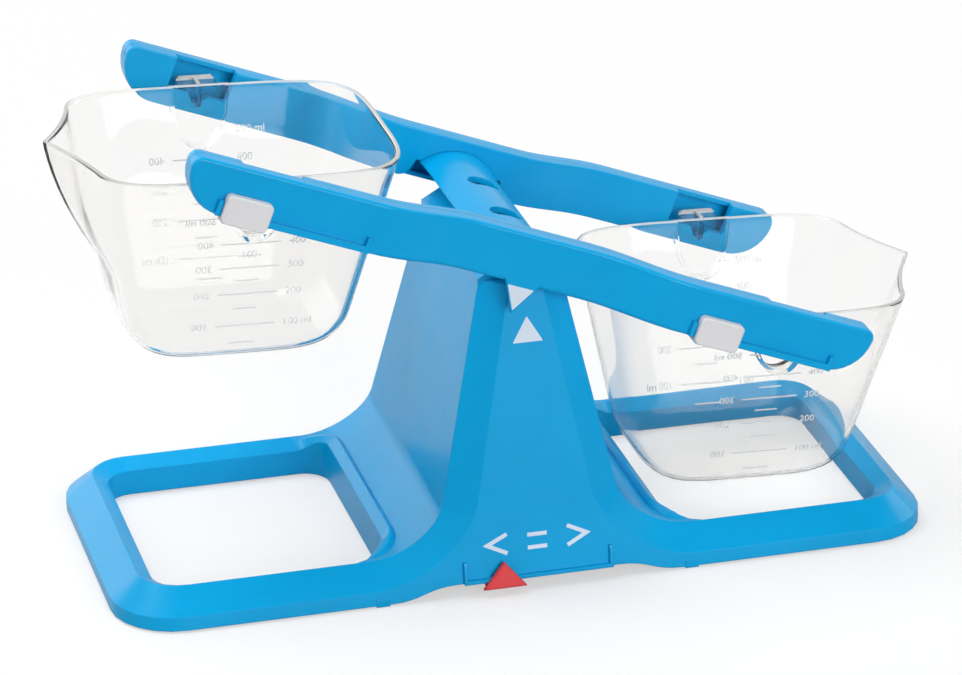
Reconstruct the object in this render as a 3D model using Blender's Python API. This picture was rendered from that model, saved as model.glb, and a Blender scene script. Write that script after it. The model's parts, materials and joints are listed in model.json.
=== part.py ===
"""A toy balance scale: a moulded base with two open loops and a tower, a pair of
hollow beams rocking on a steel axle, and two clear buckets hanging from them.
X runs to the right, -Y to the front, +Z up. The origin is on the ground under the pivot."""
import math
import bpy
import bmesh
from mathutils import Matrix, Vector

# Base and its two loops, in metres
BASE_LENGTH = 0.336
BASE_DEPTH = 0.1434
BASE_CORNER = 0.026
LIP_HEIGHT = 0.006
RIDGE_HEIGHT = 0.015
RIDGE_INSET = 0.0112
RIDGE_CORNER = 0.0153
CREST_DROP = 0.0036
LOOP_NEAR = 0.0576
LOOP_FAR = 0.1508
LOOP_SIDE_WIDTH = 0.0181
LOOP_HALF_DEPTH = BASE_DEPTH / 2 - LOOP_SIDE_WIDTH
LOOP_CORNER = 0.011
LOOP_RIM_HEIGHT = 0.017
LOOP_BEAD_HEIGHT = 0.0203
LOOP_BEAD_WIDTH = 0.0036
BASE_WALL = 0.0024
GROUND_GAP = 0.0007
REST_TAB_X = 0.06375
REST_TAB_SIZE = 0.0055
REST_TAB_DEPTH = 0.006
REST_TAB_HEIGHT = 0.003
ARCH_HALF = 0.0605
ARCH_FLAT_HALF = 0.033
BEAD_RADIUS = 0.0032
FACE_SWEEP_LOW_X = 0.048
FACE_SWEEP_HIGH = (0.027, 0.022)
SIDE_SWEEP_LOW_X = 0.052
SIDE_SWEEP_HIGH = (0.0385, 0.025)

# Tower: a front face and a wider shoulder line behind it, both tapering upwards
PIVOT_HEIGHT = 0.1337
FACE_HALF = 0.0308
FACE_TAPER = 0.197
FACE_LEAN = 0.18
FACE_TOP = PIVOT_HEIGHT - 0.0114
FACE_FLARE_TOP = 0.036
SIDE_HALF = 0.0432
SIDE_TAPER = 0.216
SIDE_LEAN = 0.172
SIDE_TOP = FACE_TOP
SIDE_FLARE_TOP = 0.034
FLARE_FOOT_X = 0.066
ROOF_HALF = 0.0174
FACE_AT_PIVOT = BASE_DEPTH / 2 - FACE_LEAN * PIVOT_HEIGHT
ROOF_HALF_DEPTH = FACE_AT_PIVOT - 0.004634
ROOF_RADIUS = 0.0012
ROOF_APEX = PIVOT_HEIGHT - 0.0006
ROOF_FOOT = FACE_TOP - 0.001
ROOF_SLOPE = math.radians(30)
ROOF_WALL = 0.002
ROOF_END_WALL = 0.007
CRADLE_HALF = 0.0034
CRADLE_TOP = 0.0004
CRADLE_LOW = 0.006

# Marker track along the front foot of the tower
TRACK_HALF = 0.0307
TRACK_HEIGHT = 0.0052
TRACK_THICK = 0.0014
TRACK_PROUD = 0.0015
TRACK_STOP_HEIGHT = 0.014
TRACK_STOP_THICK = 0.0014
MARKER_X = -0.0146
MARKER_WIDTH = 0.0176
MARKER_APEX = 0.0134
MARKER_THICK = 0.0022
MARKER_BEVEL = 0.0006
MARKER_DROP = 0.0021
MARKER_HOOK_TOP = 0.0082
MARKER_HOOK_THICK = 0.0014

# Beams: s runs along the beam from the pivot, h is the height above the pivot
BEAM_TILT = math.radians(21.0)
BEAM_HALF = 0.1463
BEAM_LOW = -0.0097
BEAM_HIGH = 0.0112
BEAM_END_RADIUS = 0.0165
BEAM_TOP_RADIUS = 0.004
BEAM_WAIST_Y = FACE_AT_PIVOT + 0.009516
BEAM_END_Y = BEAM_WAIST_Y + 0.01015
BEAM_BEND_FROM = 0.024
BEAM_BEND_TO = 0.0675
BEAM_THICK = 0.0103
BEAM_SEAM = 0.0061
BEAM_WALL = 0.0018
BEAM_LOW_FILLET = 0.0023
BEAM_TOP_FILLET = 0.0013
BEAM_INNER_FILLET = 0.0008
SEAM_GAP = 0.0002
FIT_GAP = 0.0003
BORE_GAP = 0.00025
LAP = 0.0001
POCKET_S = 0.1131
KNIFE_S = 0.1139
SEAT_SHIFT = 0.0011
SEAT_H = -0.0043
SEAT_LIP = 0.0041
POCKET_HALF = 0.0128
POCKET_LEDGE = -0.0017
NOTCH_TOP = -0.0014
NOTCH_HALF = 0.0194
NOTCH_CORNER = 0.0065
NOTCH_WALL = 0.0012
POINTER_HALF = 0.0081
POINTER_TOP = -0.0069
POINTER_APEX = -0.0218

# Axle and screws
AXLE_RADIUS = 0.00175
AXLE_HALF = BEAM_WAIST_Y - 0.01075
SCREW_S = 0.007
SCREW_H = 0.0022
SCREW_RADIUS = 0.0009
SCREW_HEAD_RADIUS = 0.0020
SCREW_HEAD_HEIGHT = 0.0014
SCREW_LENGTH = 0.0075
SCREW_HOLE_GAP = 0.0004

# Saddle bridging the two beams over the tower
SADDLE_RADIUS = 0.02175
SADDLE_WALL = 0.0026
SADDLE_CENTRE_H = -0.01616
SADDLE_RISE = 0.0012
SADDLE_SPRING_H = -0.0020
SADDLE_BOSS_RADIUS = 0.0024
SADDLE_BOSS_LENGTH = 0.0085
SADDLE_END_WALL = 0.0018
SADDLE_TONGUE = 0.0042
SADDLE_HOLE_Y = 0.0165
SADDLE_HOLE_LENGTH = 0.014
SADDLE_HOLE_WIDTH = 0.009

# Sliding compensators on the front beam
RAIL_LENGTH = 0.0592
RAIL_TO = BEAM_HALF - 0.0161
RAIL_FROM = RAIL_TO - RAIL_LENGTH
RAIL_LOW = -0.0088
RAIL_TOP = -0.0062
RAIL_PROUD = 0.0018
RAIL_STOP = 0.002
RAIL_STOP_TOP = -0.0026
BLOCK_LENGTH = 0.0187
BLOCK_LOW = -0.0108
BLOCK_HIGH = 0.0008
BLOCK_PLATE = 0.0042
BLOCK_CORNER = 0.002
BLOCK_WEB = 0.0010
BLOCK_LIP = 0.0013
BLOCK_LIP_TOP = BEAM_LOW + 0.0027
BLOCK_START = 0.0002

# Buckets: local x points away from the tower, the origin is the centre of the round knife edge
BUCKET_TILT = math.radians(2.2)
BUCKET_NEAR = 0.0630
BUCKET_FAR = 0.0592
BUCKET_SIDE = BEAM_END_Y - 0.0143
BUCKET_NEAR_POWER = 4.7
BUCKET_FAR_POWER = 5.3
BUCKET_NEAR_DRAFT = 0.23
BUCKET_FAR_DRAFT = 0.21
BUCKET_SIDE_DRAFT = 0.27
BUCKET_DEPTH = PIVOT_HEIGHT - 0.0495
BUCKET_END_RADIUS = 0.0150
BUCKET_SIDE_RADIUS = 0.0080
BUCKET_RIM = 0.0086
BUCKET_WALL = 0.0016
SPOUT_REACH = 0.0133
SPOUT_HALF = 0.034
SPOUT_RISE = 0.0008
SPOUT_DEPTH = 0.0517
PAD_HALF = 0.0122
PAD_DROP = 0.0258
PAD_INSIDE = 0.030
SHELF_HALF = 0.0078
SHELF_END_Y = BUCKET_SIDE + 0.0072
SHELF_LOW = 0.0071
SHELF_THICK = 0.0012
SHELF_RAIL_TOP = 0.0099
FIN_HALF = 0.0014
FIN_TIP = 0.0013

BLUE = (0.0, 0.37, 0.73, 1.0)
WHITE = (0.78, 0.78, 0.80, 1.0)
RED = (0.75, 0.05, 0.05, 1.0)
CLEAR = (0.85, 0.90, 0.92, 1.0)
STEEL = (0.55, 0.56, 0.58, 1.0)


def clear_scene():
    for old in list(bpy.data.objects):
        bpy.data.objects.remove(old)


def material(name, colour, roughness, metallic=0.0, alpha=1.0):
    mat = bpy.data.materials.new(name)
    mat.use_nodes = True
    shader = mat.node_tree.nodes["Principled BSDF"]
    shader.inputs["Base Color"].default_value = colour
    shader.inputs["Roughness"].default_value = roughness
    shader.inputs["Metallic"].default_value = metallic
    shader.inputs["Alpha"].default_value = alpha
    return mat


# Mesh helpers
def object_from(name, bm):
    bmesh.ops.recalc_face_normals(bm, faces=bm.faces)
    mesh = bpy.data.meshes.new(name)
    bm.to_mesh(mesh)
    bm.free()
    obj = bpy.data.objects.new(name, mesh)
    bpy.context.scene.collection.objects.link(obj)
    return obj


def loft(name, rings):
    bm = bmesh.new()
    rows = [[bm.verts.new(point) for point in ring] for ring in rings]
    count = len(rows[0])
    for low, high in zip(rows, rows[1:]):
        for i in range(count):
            j = (i + 1) % count
            bm.faces.new((low[i], low[j], high[j], high[i]))
    bm.faces.new(rows[0])
    bm.faces.new(rows[-1])
    return object_from(name, bm)


def prism(name, outline, low, high, axis):
    """Extrudes an outline: axis Z takes (x, y) points, axis Y takes (x, z) points."""
    if axis == "Z":
        rings = [[(a, b, level) for a, b in outline] for level in (low, high)]
    else:
        rings = [[(a, level, b) for a, b in outline] for level in (low, high)]
    return loft(name, rings)


def box(name, low, high):
    outline = [(low[0], low[1]), (high[0], low[1]), (high[0], high[1]), (low[0], high[1])]
    return prism(name, outline, low[2], high[2], "Z")


def cylinder_y(name, x, z, radius, low, high, segments=32):
    outline = []
    for i in range(segments):
        angle = 2 * math.pi * i / segments
        outline.append((x + radius * math.cos(angle), z + radius * math.sin(angle)))
    return prism(name, outline, low, high, "Y")


def boolean(target, tool, operation):
    modifier = target.modifiers.new("boolean", "BOOLEAN")
    modifier.operation = operation
    modifier.solver = "EXACT"
    modifier.object = tool
    bpy.context.view_layer.objects.active = target
    bpy.ops.object.modifier_apply(modifier=modifier.name)
    bpy.data.objects.remove(tool)


def cut(target, tool):
    boolean(target, tool, "DIFFERENCE")


def join(target, tool):
    boolean(target, tool, "UNION")


def keep(target, tool):
    boolean(target, tool, "INTERSECT")


def arc(cx, cy, radius, start, end, steps):
    points = []
    for i in range(steps + 1):
        angle = math.radians(start + (end - start) * i / steps)
        points.append((cx + radius * math.cos(angle), cy + radius * math.sin(angle)))
    return points


def rounded_rectangle(x0, y0, x1, y1, radius, steps=6):
    points = arc(x1 - radius, y1 - radius, radius, 0, 90, steps)
    points += arc(x0 + radius, y1 - radius, radius, 90, 180, steps)
    points += arc(x0 + radius, y0 + radius, radius, 180, 270, steps)
    points += arc(x1 - radius, y0 + radius, radius, 270, 360, steps)
    return points


def bezier(p0, p1, p2, p3, steps):
    points = []
    for i in range(steps + 1):
        t = i / steps
        u = 1 - t
        weights = (u * u * u, 3 * u * u * t, 3 * u * t * t, t * t * t)
        x = sum(w * p[0] for w, p in zip(weights, (p0, p1, p2, p3)))
        z = sum(w * p[1] for w, p in zip(weights, (p0, p1, p2, p3)))
        points.append((x, z))
    return points


def inset_chain(points, distance):
    """Moves an open chain to its left by a distance, mitring the corners."""
    normals = []
    for a, b in zip(points, points[1:]):
        direction = Vector((b[0] - a[0], b[1] - a[1])).normalized()
        normals.append(Vector((-direction.y, direction.x)))
    moved = []
    for i, point in enumerate(points):
        before = normals[max(i - 1, 0)]
        after = normals[min(i, len(normals) - 1)]
        mitre = (before + after) / (1 + before.dot(after))
        moved.append((point[0] + mitre.x * distance, point[1] + mitre.y * distance))
    return moved


def finish(obj, name, mat, origin=(0, 0, 0), smooth=30):
    obj.name = name
    obj.data.name = name
    bm = bmesh.new()
    bm.from_mesh(obj.data)
    bmesh.ops.remove_doubles(bm, verts=bm.verts, dist=0.000002)
    bmesh.ops.dissolve_degenerate(bm, edges=bm.edges, dist=0.000002)
    bmesh.ops.triangulate(bm, faces=bm.faces)
    bmesh.ops.recalc_face_normals(bm, faces=bm.faces)
    bmesh.ops.translate(bm, verts=bm.verts, vec=-Vector(origin))
    bm.to_mesh(obj.data)
    bm.free()
    obj.location = origin
    obj.data.materials.clear()
    obj.data.materials.append(mat)
    obj.data.shade_smooth()
    obj.data.set_sharp_from_angle(angle=math.radians(smooth))
    return obj


# Base
def face_y(z):
    return BASE_DEPTH / 2 - FACE_LEAN * z


def side_y(z):
    return BASE_DEPTH / 2 - RIDGE_INSET + SIDE_LEAN * RIDGE_HEIGHT - SIDE_LEAN * z


def face_chain():
    top = (FACE_HALF - FACE_TAPER * FACE_TOP, FACE_TOP)
    start = (FACE_HALF - FACE_TAPER * FACE_FLARE_TOP, FACE_FLARE_TOP)
    foot = (FLARE_FOOT_X, LIP_HEIGHT - LAP / 2)
    return bezier(foot, (FACE_SWEEP_LOW_X, LIP_HEIGHT), FACE_SWEEP_HIGH, start, 9) + [top]


def side_chain():
    top = (SIDE_HALF - SIDE_TAPER * SIDE_TOP, SIDE_TOP)
    start = (SIDE_HALF - SIDE_TAPER * SIDE_FLARE_TOP, SIDE_FLARE_TOP)
    foot = (FLARE_FOOT_X, RIDGE_HEIGHT - LAP / 2)
    return bezier(foot, (SIDE_SWEEP_LOW_X, RIDGE_HEIGHT), SIDE_SWEEP_HIGH, start, 9) + [top]


def tower_loft(name, inset):
    """The tower and its sweep down to the foot; the inset makes its hollow."""
    rings = []
    for chain, depth, sign in (
        (face_chain(), face_y, -1),
        (side_chain(), side_y, -1),
        (side_chain(), side_y, 1),
        (face_chain(), face_y, 1),
    ):
        if inset:
            chain = inset_chain(chain, inset)
            chain[0] = (chain[0][0], chain[0][1] - inset)
            chain[-1] = (chain[-1][0], chain[-1][1] - inset)
        levels = [depth(z) - inset * 1.03 for x, z in chain]
        right = [(x, sign * y, z) for (x, z), y in zip(chain, levels)]
        left = [(-x, y, z) for x, y, z in reversed(right)]
        rings.append(right + left)
    return loft(name, rings)


def foot_ring(inset_x, inset_y, radius, z):
    half_x = BASE_LENGTH / 2 - inset_x
    half_y = BASE_DEPTH / 2 - inset_y
    outline = rounded_rectangle(-half_x, -half_y, half_x, half_y, radius, 6)
    return [(x, y, z) for x, y in outline]


def foot_loft(name, wall):
    """The low foot under everything: an upright lip, then a slope up to the ridge."""
    rise = RIDGE_HEIGHT - LIP_HEIGHT
    lean = FACE_LEAN * LIP_HEIGHT
    run = RIDGE_INSET - lean
    if not wall:
        rings = [
            foot_ring(0, FACE_LEAN * GROUND_GAP + 0.00002, BASE_CORNER, GROUND_GAP),
            foot_ring(0, lean + 0.00002, BASE_CORNER, LIP_HEIGHT),
            foot_ring(RIDGE_INSET, RIDGE_INSET, RIDGE_CORNER, RIDGE_HEIGHT),
        ]
        return loft(name, rings)
    shift = wall * math.hypot(run, rise) / rise
    drop = (shift - wall) * rise / run
    low = LIP_HEIGHT - drop
    top = RIDGE_HEIGHT - wall
    inset = RIDGE_INSET + shift - wall * run / rise
    rings = [
        foot_ring(wall, wall, BASE_CORNER - wall, -0.002),
        foot_ring(wall, wall + lean, BASE_CORNER - wall, low),
        foot_ring(inset, inset, RIDGE_CORNER - inset + RIDGE_INSET, top),
    ]
    return loft(name, rings)


def loop_prism(name, sign, grow):
    x0, x1 = sorted((sign * (LOOP_NEAR - grow), sign * (LOOP_FAR + grow)))
    half = LOOP_HALF_DEPTH + grow
    outline = rounded_rectangle(x0, -half, x1, half, LOOP_CORNER + grow)
    return prism(name, outline, -0.01, 0.06, "Z")


def crest_cutter(name, sign, grow, drop):
    """The funnel that slopes the loop's inner crest; it steepens towards the tower."""
    inner = rounded_rectangle(
        LOOP_NEAR - grow, -LOOP_HALF_DEPTH - grow,
        LOOP_FAR + grow, LOOP_HALF_DEPTH + grow, LOOP_CORNER + grow,
    )
    reach_x = BASE_LENGTH / 2 - RIDGE_INSET - LOOP_FAR
    reach_y = BASE_DEPTH / 2 - RIDGE_INSET - LOOP_HALF_DEPTH
    outer = rounded_rectangle(
        LOOP_NEAR - grow - LOOP_BEAD_WIDTH, -LOOP_HALF_DEPTH - grow - reach_y,
        LOOP_FAR + grow + reach_x, LOOP_HALF_DEPTH + grow + reach_y, LOOP_CORNER + grow + reach_y,
    )
    rings = [[], [], [], []]
    for (ax, ay), (bx, by) in zip(inner, outer):
        t = min(max((ax - LOOP_NEAR) / LOOP_CORNER, 0), 1)
        t = t * t * (3 - 2 * t)
        low = LOOP_RIM_HEIGHT + (RIDGE_HEIGHT - CREST_DROP - LOOP_RIM_HEIGHT) * t - drop
        high = LOOP_BEAD_HEIGHT + (RIDGE_HEIGHT + 0.00005 - LOOP_BEAD_HEIGHT) * t - drop
        rings[0].append((sign * ax, ay, -0.01))
        rings[1].append((sign * ax, ay, low))
        rings[2].append((sign * bx, by, high))
        rings[3].append((sign * bx, by, 0.04))
    return loft(name, rings)


def loop_bead(name, sign):
    """The soft raised rim where the tower's sweep meets the loop."""
    radius = LOOP_CORNER + LOOP_BEAD_WIDTH
    x = LOOP_NEAR - LOOP_BEAD_WIDTH + 0.0008
    half = LOOP_HALF_DEPTH + LOOP_BEAD_WIDTH
    path = arc(x + radius, -half + radius, radius, 262, 180, 6)
    path += arc(x + radius, half - radius, radius, 180, 98, 6)
    rings = []
    count = len(path)
    for i, (px, py) in enumerate(path):
        a = path[max(i - 1, 0)]
        b = path[min(i + 1, count - 1)]
        normal = Vector((b[1] - a[1], -(b[0] - a[0]))).normalized()
        fade = min(max((px - x) / radius, 0), 1)
        height = LOOP_BEAD_HEIGHT - (LOOP_BEAD_HEIGHT - RIDGE_HEIGHT + 0.0012) * fade ** 0.8
        ring = []
        for k in range(10):
            angle = 2 * math.pi * k / 10
            out = BEAD_RADIUS * math.cos(angle)
            up = BEAD_RADIUS * (math.sin(angle) - 1)
            ring.append((sign * (px + normal.x * out), py + normal.y * out, height + up))
        rings.append(ring)
    return loft(name, rings)


def roof_outline(shrink):
    """The gabled block on the tower, its ridge just under the axle's centre."""
    radius = max(ROOF_RADIUS - shrink, 0.0003)
    half = ROOF_HALF - shrink
    peak = ROOF_APEX - shrink / math.cos(ROOF_SLOPE)
    eave = peak - half * math.tan(ROOF_SLOPE)
    low = ROOF_FOOT
    points = [(half, low), (half, eave)]
    points += arc(0, peak - radius / math.cos(ROOF_SLOPE), radius, 60, 120, 3)
    points += [(-half, eave), (-half, low)]
    return points


def build_base(mat):
    base = foot_loft("base", 0)
    join(base, tower_loft("tower", 0))
    join(base, prism("roof", roof_outline(0), -ROOF_HALF_DEPTH, ROOF_HALF_DEPTH, "Y"))
    cavity = foot_loft("cavity", BASE_WALL)
    join(cavity, tower_loft("tower", BASE_WALL))
    hollow = ROOF_HALF_DEPTH - ROOF_END_WALL
    attic = [(x, z - 0.004 if z <= ROOF_FOOT else z) for x, z in roof_outline(ROOF_WALL)]
    attic[0] = (attic[0][0] - 0.002, attic[0][1])
    attic[-1] = (attic[-1][0] + 0.002, attic[-1][1])
    join(cavity, prism("attic", attic, -hollow, hollow, "Y"))
    for sign in (-1, 1):
        join(base, loop_bead("bead", sign))
        cut(base, crest_cutter("crest", sign, 0, 0))
        cut(cavity, loop_prism("loop", sign, BASE_WALL))
        cut(cavity, crest_cutter("crest", sign, BASE_WALL, BASE_WALL))
    cut(base, cavity)
    cradles(base)
    cut(base, front_arch("arch"))
    track = marker_track("track")
    for sign in (-1, 1):
        join(track, track_stop("stop", sign))
    join(base, track)
    for sign in (-1, 1):
        for front in (-1, 1):
            outside = BASE_DEPTH / 2 - 2 * LAP
            y0, y1 = sorted((front * outside, front * (outside - REST_TAB_DEPTH)))
            x = sign * REST_TAB_X
            half = REST_TAB_SIZE / 2
            join(base, box("tab", (x - half, y0, 0), (x + half, y1, REST_TAB_HEIGHT)))
    return finish(base, "base_shell", mat)


def cradles(base):
    """Open cradles in the roof's two end walls that carry the axle."""
    bore = AXLE_RADIUS + BORE_GAP
    lap = LAP / 5
    for side in (-1, 1):
        outside = ROOF_HALF_DEPTH - lap
        inside = ROOF_HALF_DEPTH - ROOF_END_WALL + lap
        y0, y1 = sorted((side * outside, side * inside))
        low = (-CRADLE_HALF, y0, PIVOT_HEIGHT - CRADLE_LOW)
        high = (CRADLE_HALF, y1, PIVOT_HEIGHT + CRADLE_TOP)
        join(base, box("cradle", low, high))
    outline = [(bore, 0.01)] + arc(0, 0, bore, 0, -180, 12) + [(-bore, 0.01)]
    outline = [(x, PIVOT_HEIGHT + z) for x, z in outline]
    cut(base, prism("slot", outline, -AXLE_HALF, AXLE_HALF, "Y"))


def front_arch(name):
    """The foot of the front face is raised between the two front rest tabs."""
    top = TRACK_HEIGHT
    middle = (ARCH_HALF + ARCH_FLAT_HALF) / 2
    rise = bezier((ARCH_HALF, GROUND_GAP), (middle, GROUND_GAP), (middle, top), (ARCH_FLAT_HALF, top), 8)
    right = [(ARCH_HALF, -0.002)] + rise
    outline = right + [(-x, z) for x, z in reversed(right)]
    return prism(name, outline, -BASE_DEPTH / 2 - 0.008, -BASE_DEPTH / 2 + RIDGE_INSET, "Y")


def marker_track(name):
    front = -face_y(TRACK_HEIGHT) - TRACK_PROUD
    back = -face_y(TRACK_HEIGHT) + BASE_WALL * 0.9
    low = (-TRACK_HALF, front, TRACK_HEIGHT - LAP)
    high = (TRACK_HALF, back, TRACK_HEIGHT + TRACK_THICK)
    return box(name, low, high)


def track_stop(name, sign):
    x0, x1 = sorted((sign * TRACK_HALF, sign * (TRACK_HALF - TRACK_STOP_THICK)))
    low = TRACK_HEIGHT - LAP
    rings = []
    for x in (x0, x1):
        ring = []
        for z, back in ((low, 0), (TRACK_STOP_HEIGHT - 0.0008, 0), (TRACK_STOP_HEIGHT, 0.0006)):
            ring.append((x, -face_y(z) - TRACK_PROUD + back, z))
        ring.append((x, -face_y(TRACK_STOP_HEIGHT) + 0.001, TRACK_STOP_HEIGHT))
        ring.append((x, -face_y(low) + 0.001, low))
        rings.append(ring)
    return loft(name, rings)


def build_marker(mat):
    half = MARKER_WIDTH / 2
    low = TRACK_HEIGHT - MARKER_DROP
    front_gap = TRACK_PROUD + FIT_GAP
    rings = []
    for thick, shrink in ((0, 0), (MARKER_THICK - MARKER_BEVEL, 0), (MARKER_THICK, MARKER_BEVEL)):
        corner = half - 2 * shrink
        apex = MARKER_APEX - 1.4 * shrink
        ring = []
        for x, z in ((-corner, low + shrink), (corner, low + shrink), (0, apex)):
            ring.append((MARKER_X + x, -face_y(z) - front_gap - thick, z))
        rings.append(ring)
    marker = loft("marker", rings)
    front = -face_y(low) - front_gap
    back = -face_y(MARKER_HOOK_TOP) + BASE_WALL * 1.03 + FIT_GAP
    deep = back + MARKER_HOOK_THICK
    web_half = half * 0.82
    web_low = (MARKER_X - web_half, front - 0.001, low)
    web_high = (MARKER_X + web_half, deep, TRACK_HEIGHT - FIT_GAP)
    join(marker, box("web", web_low, web_high))
    hook_low = (MARKER_X - half / 2, back, low)
    hook_high = (MARKER_X + half / 2, deep, MARKER_HOOK_TOP)
    join(marker, box("hook", hook_low, hook_high))
    return finish(marker, "equality_marker", mat, (MARKER_X, front, TRACK_HEIGHT))


# Beams
def beam_y(s):
    t = (abs(s) - BEAM_BEND_FROM) / (BEAM_BEND_TO - BEAM_BEND_FROM)
    t = min(max(t, 0), 1)
    return BEAM_WAIST_Y + (BEAM_END_Y - BEAM_WAIST_Y) * (1 - math.cos(math.pi * t)) / 2


def beam_stations():
    bend = [BEAM_BEND_FROM + (BEAM_BEND_TO - BEAM_BEND_FROM) * i / 8 for i in range(9)]
    right = [BEAM_BEND_FROM / 2] + bend + [BEAM_HALF - 0.0563, BEAM_HALF - 0.0363]
    return [-s for s in reversed(right)] + right


def beam_ring(inset_low, inset_high, back_low, back_high, side):
    """The beam's outline drawn in by the insets; the end corners blend from one to the other."""
    low_centre = BEAM_HALF - BEAM_END_RADIUS
    high_centre = BEAM_HALF - BEAM_TOP_RADIUS
    low_end = []
    high_end = []
    for i in range(9):
        share = i / 8
        angle = math.pi / 2 * share
        radius = BEAM_END_RADIUS - inset_high - (inset_low - inset_high) * share
        back = back_high + (back_low - back_high) * share
        h = BEAM_LOW + BEAM_END_RADIUS - radius * math.sin(angle)
        low_end.append((-low_centre - radius * math.cos(angle), h, back))
        radius = BEAM_TOP_RADIUS - inset_high
        h = BEAM_HIGH - BEAM_TOP_RADIUS + radius * math.sin(angle)
        high_end.append((-high_centre - radius * math.cos(angle), h, back_high))
    low = [(s, BEAM_LOW + inset_low, back_low) for s in beam_stations()]
    high = [(s, BEAM_HIGH - inset_high, back_high) for s in beam_stations()]
    low = low_end + low + [(-s, h, back) for s, h, back in reversed(low_end)]
    high = high_end + high + [(-s, h, back) for s, h, back in reversed(high_end)]
    return [(s, side * (beam_y(s) - back), h) for s, h, back in low + high[::-1]]


def beam_shell(name, rings, cavity):
    """A tray: outer rings from the open edge to the closed face, then the hollow."""
    bm = bmesh.new()
    rows = [[bm.verts.new(point) for point in ring] for ring in rings]
    inside = [[bm.verts.new(point) for point in ring] for ring in cavity]
    count = len(rows[0])
    half = count // 2
    for group in (rows, inside, [rows[0], inside[0]]):
        for a, b in zip(group, group[1:]):
            for i in range(count):
                j = (i + 1) % count
                bm.faces.new((a[i], a[j], b[j], b[i]))
    for last in (rows[-1], inside[-1]):
        for i in range(half - 1):
            bm.faces.new((last[i], last[i + 1], last[count - 2 - i], last[count - 1 - i]))
    return object_from(name, bm)


def outer_half(name, side):
    rings = [beam_ring(0, 0, BEAM_SEAM, BEAM_SEAM, side)]
    for step in range(5):
        angle = math.pi / 2 * step / 4
        turn_low = BEAM_LOW_FILLET * (1 - math.cos(angle))
        turn_high = BEAM_TOP_FILLET * (1 - math.cos(angle))
        back_low = BEAM_LOW_FILLET * (1 - math.sin(angle))
        back_high = BEAM_TOP_FILLET * (1 - math.sin(angle))
        rings.append(beam_ring(turn_low, turn_high, back_low, back_high, side))
    wall = BEAM_WALL
    cavity = [beam_ring(wall, wall, BEAM_SEAM, BEAM_SEAM, side), beam_ring(wall, wall, wall, wall, side)]
    return beam_shell(name, rings, cavity)


def inner_half(name, side):
    seam = BEAM_SEAM + SEAM_GAP
    rings = [beam_ring(0, 0, seam, seam, side)]
    for step in range(3):
        angle = math.pi / 2 * step / 2
        turn = BEAM_INNER_FILLET * (1 - math.cos(angle))
        back = BEAM_THICK - BEAM_INNER_FILLET * (1 - math.sin(angle))
        rings.append(beam_ring(turn, turn, back, back, side))
    wall = BEAM_WALL
    depth = BEAM_THICK - wall
    cavity = [beam_ring(wall, wall, seam, seam, side), beam_ring(wall, wall, depth, depth, side)]
    shell = beam_shell(name, rings, cavity)
    near = BEAM_WAIST_Y - BEAM_THICK
    y0, y1 = sorted((side * (near + 0.0006), side * (BEAM_WAIST_Y - seam)))
    join(shell, prism("collar", notch_outline(NOTCH_WALL), y0, y1, "Y"))
    y0, y1 = sorted((side * (near - 0.004), side * (BEAM_WAIST_Y - 0.002)))
    cut(shell, prism("notch", notch_outline(0), y0, y1, "Y"))
    for end in (-1, 1):
        s = end * POCKET_S
        near = BEAM_END_Y - BEAM_THICK
        y0, y1 = sorted((side * (near + 0.0006), side * (BEAM_END_Y - seam)))
        low = (s - POCKET_HALF - BEAM_WALL, y0, BEAM_LOW + BEAM_WALL / 2)
        high = (s + POCKET_HALF + BEAM_WALL, y1, BEAM_HIGH - BEAM_WALL / 2)
        join(shell, box("pocket_wall", low, high))
        y0, y1 = sorted((side * (near - 0.004), side * (BEAM_END_Y - 0.002)))
        cut(shell, prism("pocket", pocket_outline(s), y0, y1, "Y"))
    for end in (-1, 1):
        near = BEAM_WAIST_Y - BEAM_THICK
        y0, y1 = sorted((side * (near - 0.003), side * (near + BEAM_WALL + 0.003)))
        cut(shell, cylinder_y("hole", end * SCREW_S, SCREW_H, SCREW_RADIUS + SCREW_HOLE_GAP, y0, y1, 16))
    return shell


def notch_outline(wall):
    """The opening under the pivot that clears the tower; the wall gives its collar."""
    corner_h = BEAM_LOW + NOTCH_CORNER
    foot = BEAM_LOW + BEAM_WALL / 2 if wall else BEAM_LOW - 0.003
    points = arc(NOTCH_HALF + NOTCH_CORNER, corner_h, NOTCH_CORNER, 270, 180, 6)
    points += [(NOTCH_HALF - 0.0005, max(NOTCH_TOP, corner_h))]
    points = [(x + wall * 0.9, h + wall * 0.9) for x, h in points]
    points[0] = (points[0][0], foot)
    return points + [(-x, h) for x, h in reversed(points)]


def pocket_outline(s):
    """The pocket seen from the front: side walls, ledge and the V that seats the knife."""
    half = POCKET_HALF
    knife = math.copysign(KNIFE_S, s) + SEAT_SHIFT
    points = [(s - half, 0.022), (s - half, POCKET_LEDGE), (knife - SEAT_LIP, POCKET_LEDGE)]
    points += arc(knife, SEAT_H, FIN_TIP + BORE_GAP, 218, 322, 5)
    points += [(knife + SEAT_LIP, POCKET_LEDGE), (s + half, POCKET_LEDGE), (s + half, 0.022)]
    return points


def pointer(name, side):
    outline = [(-POINTER_HALF, POINTER_TOP), (POINTER_HALF, POINTER_TOP), (0, POINTER_APEX)]
    proud = BEAM_WAIST_Y + 0.00003
    y0, y1 = sorted((side * proud, side * (BEAM_WAIST_Y - BEAM_WALL + LAP)))
    return prism(name, outline, y0, y1, "Y")


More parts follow.
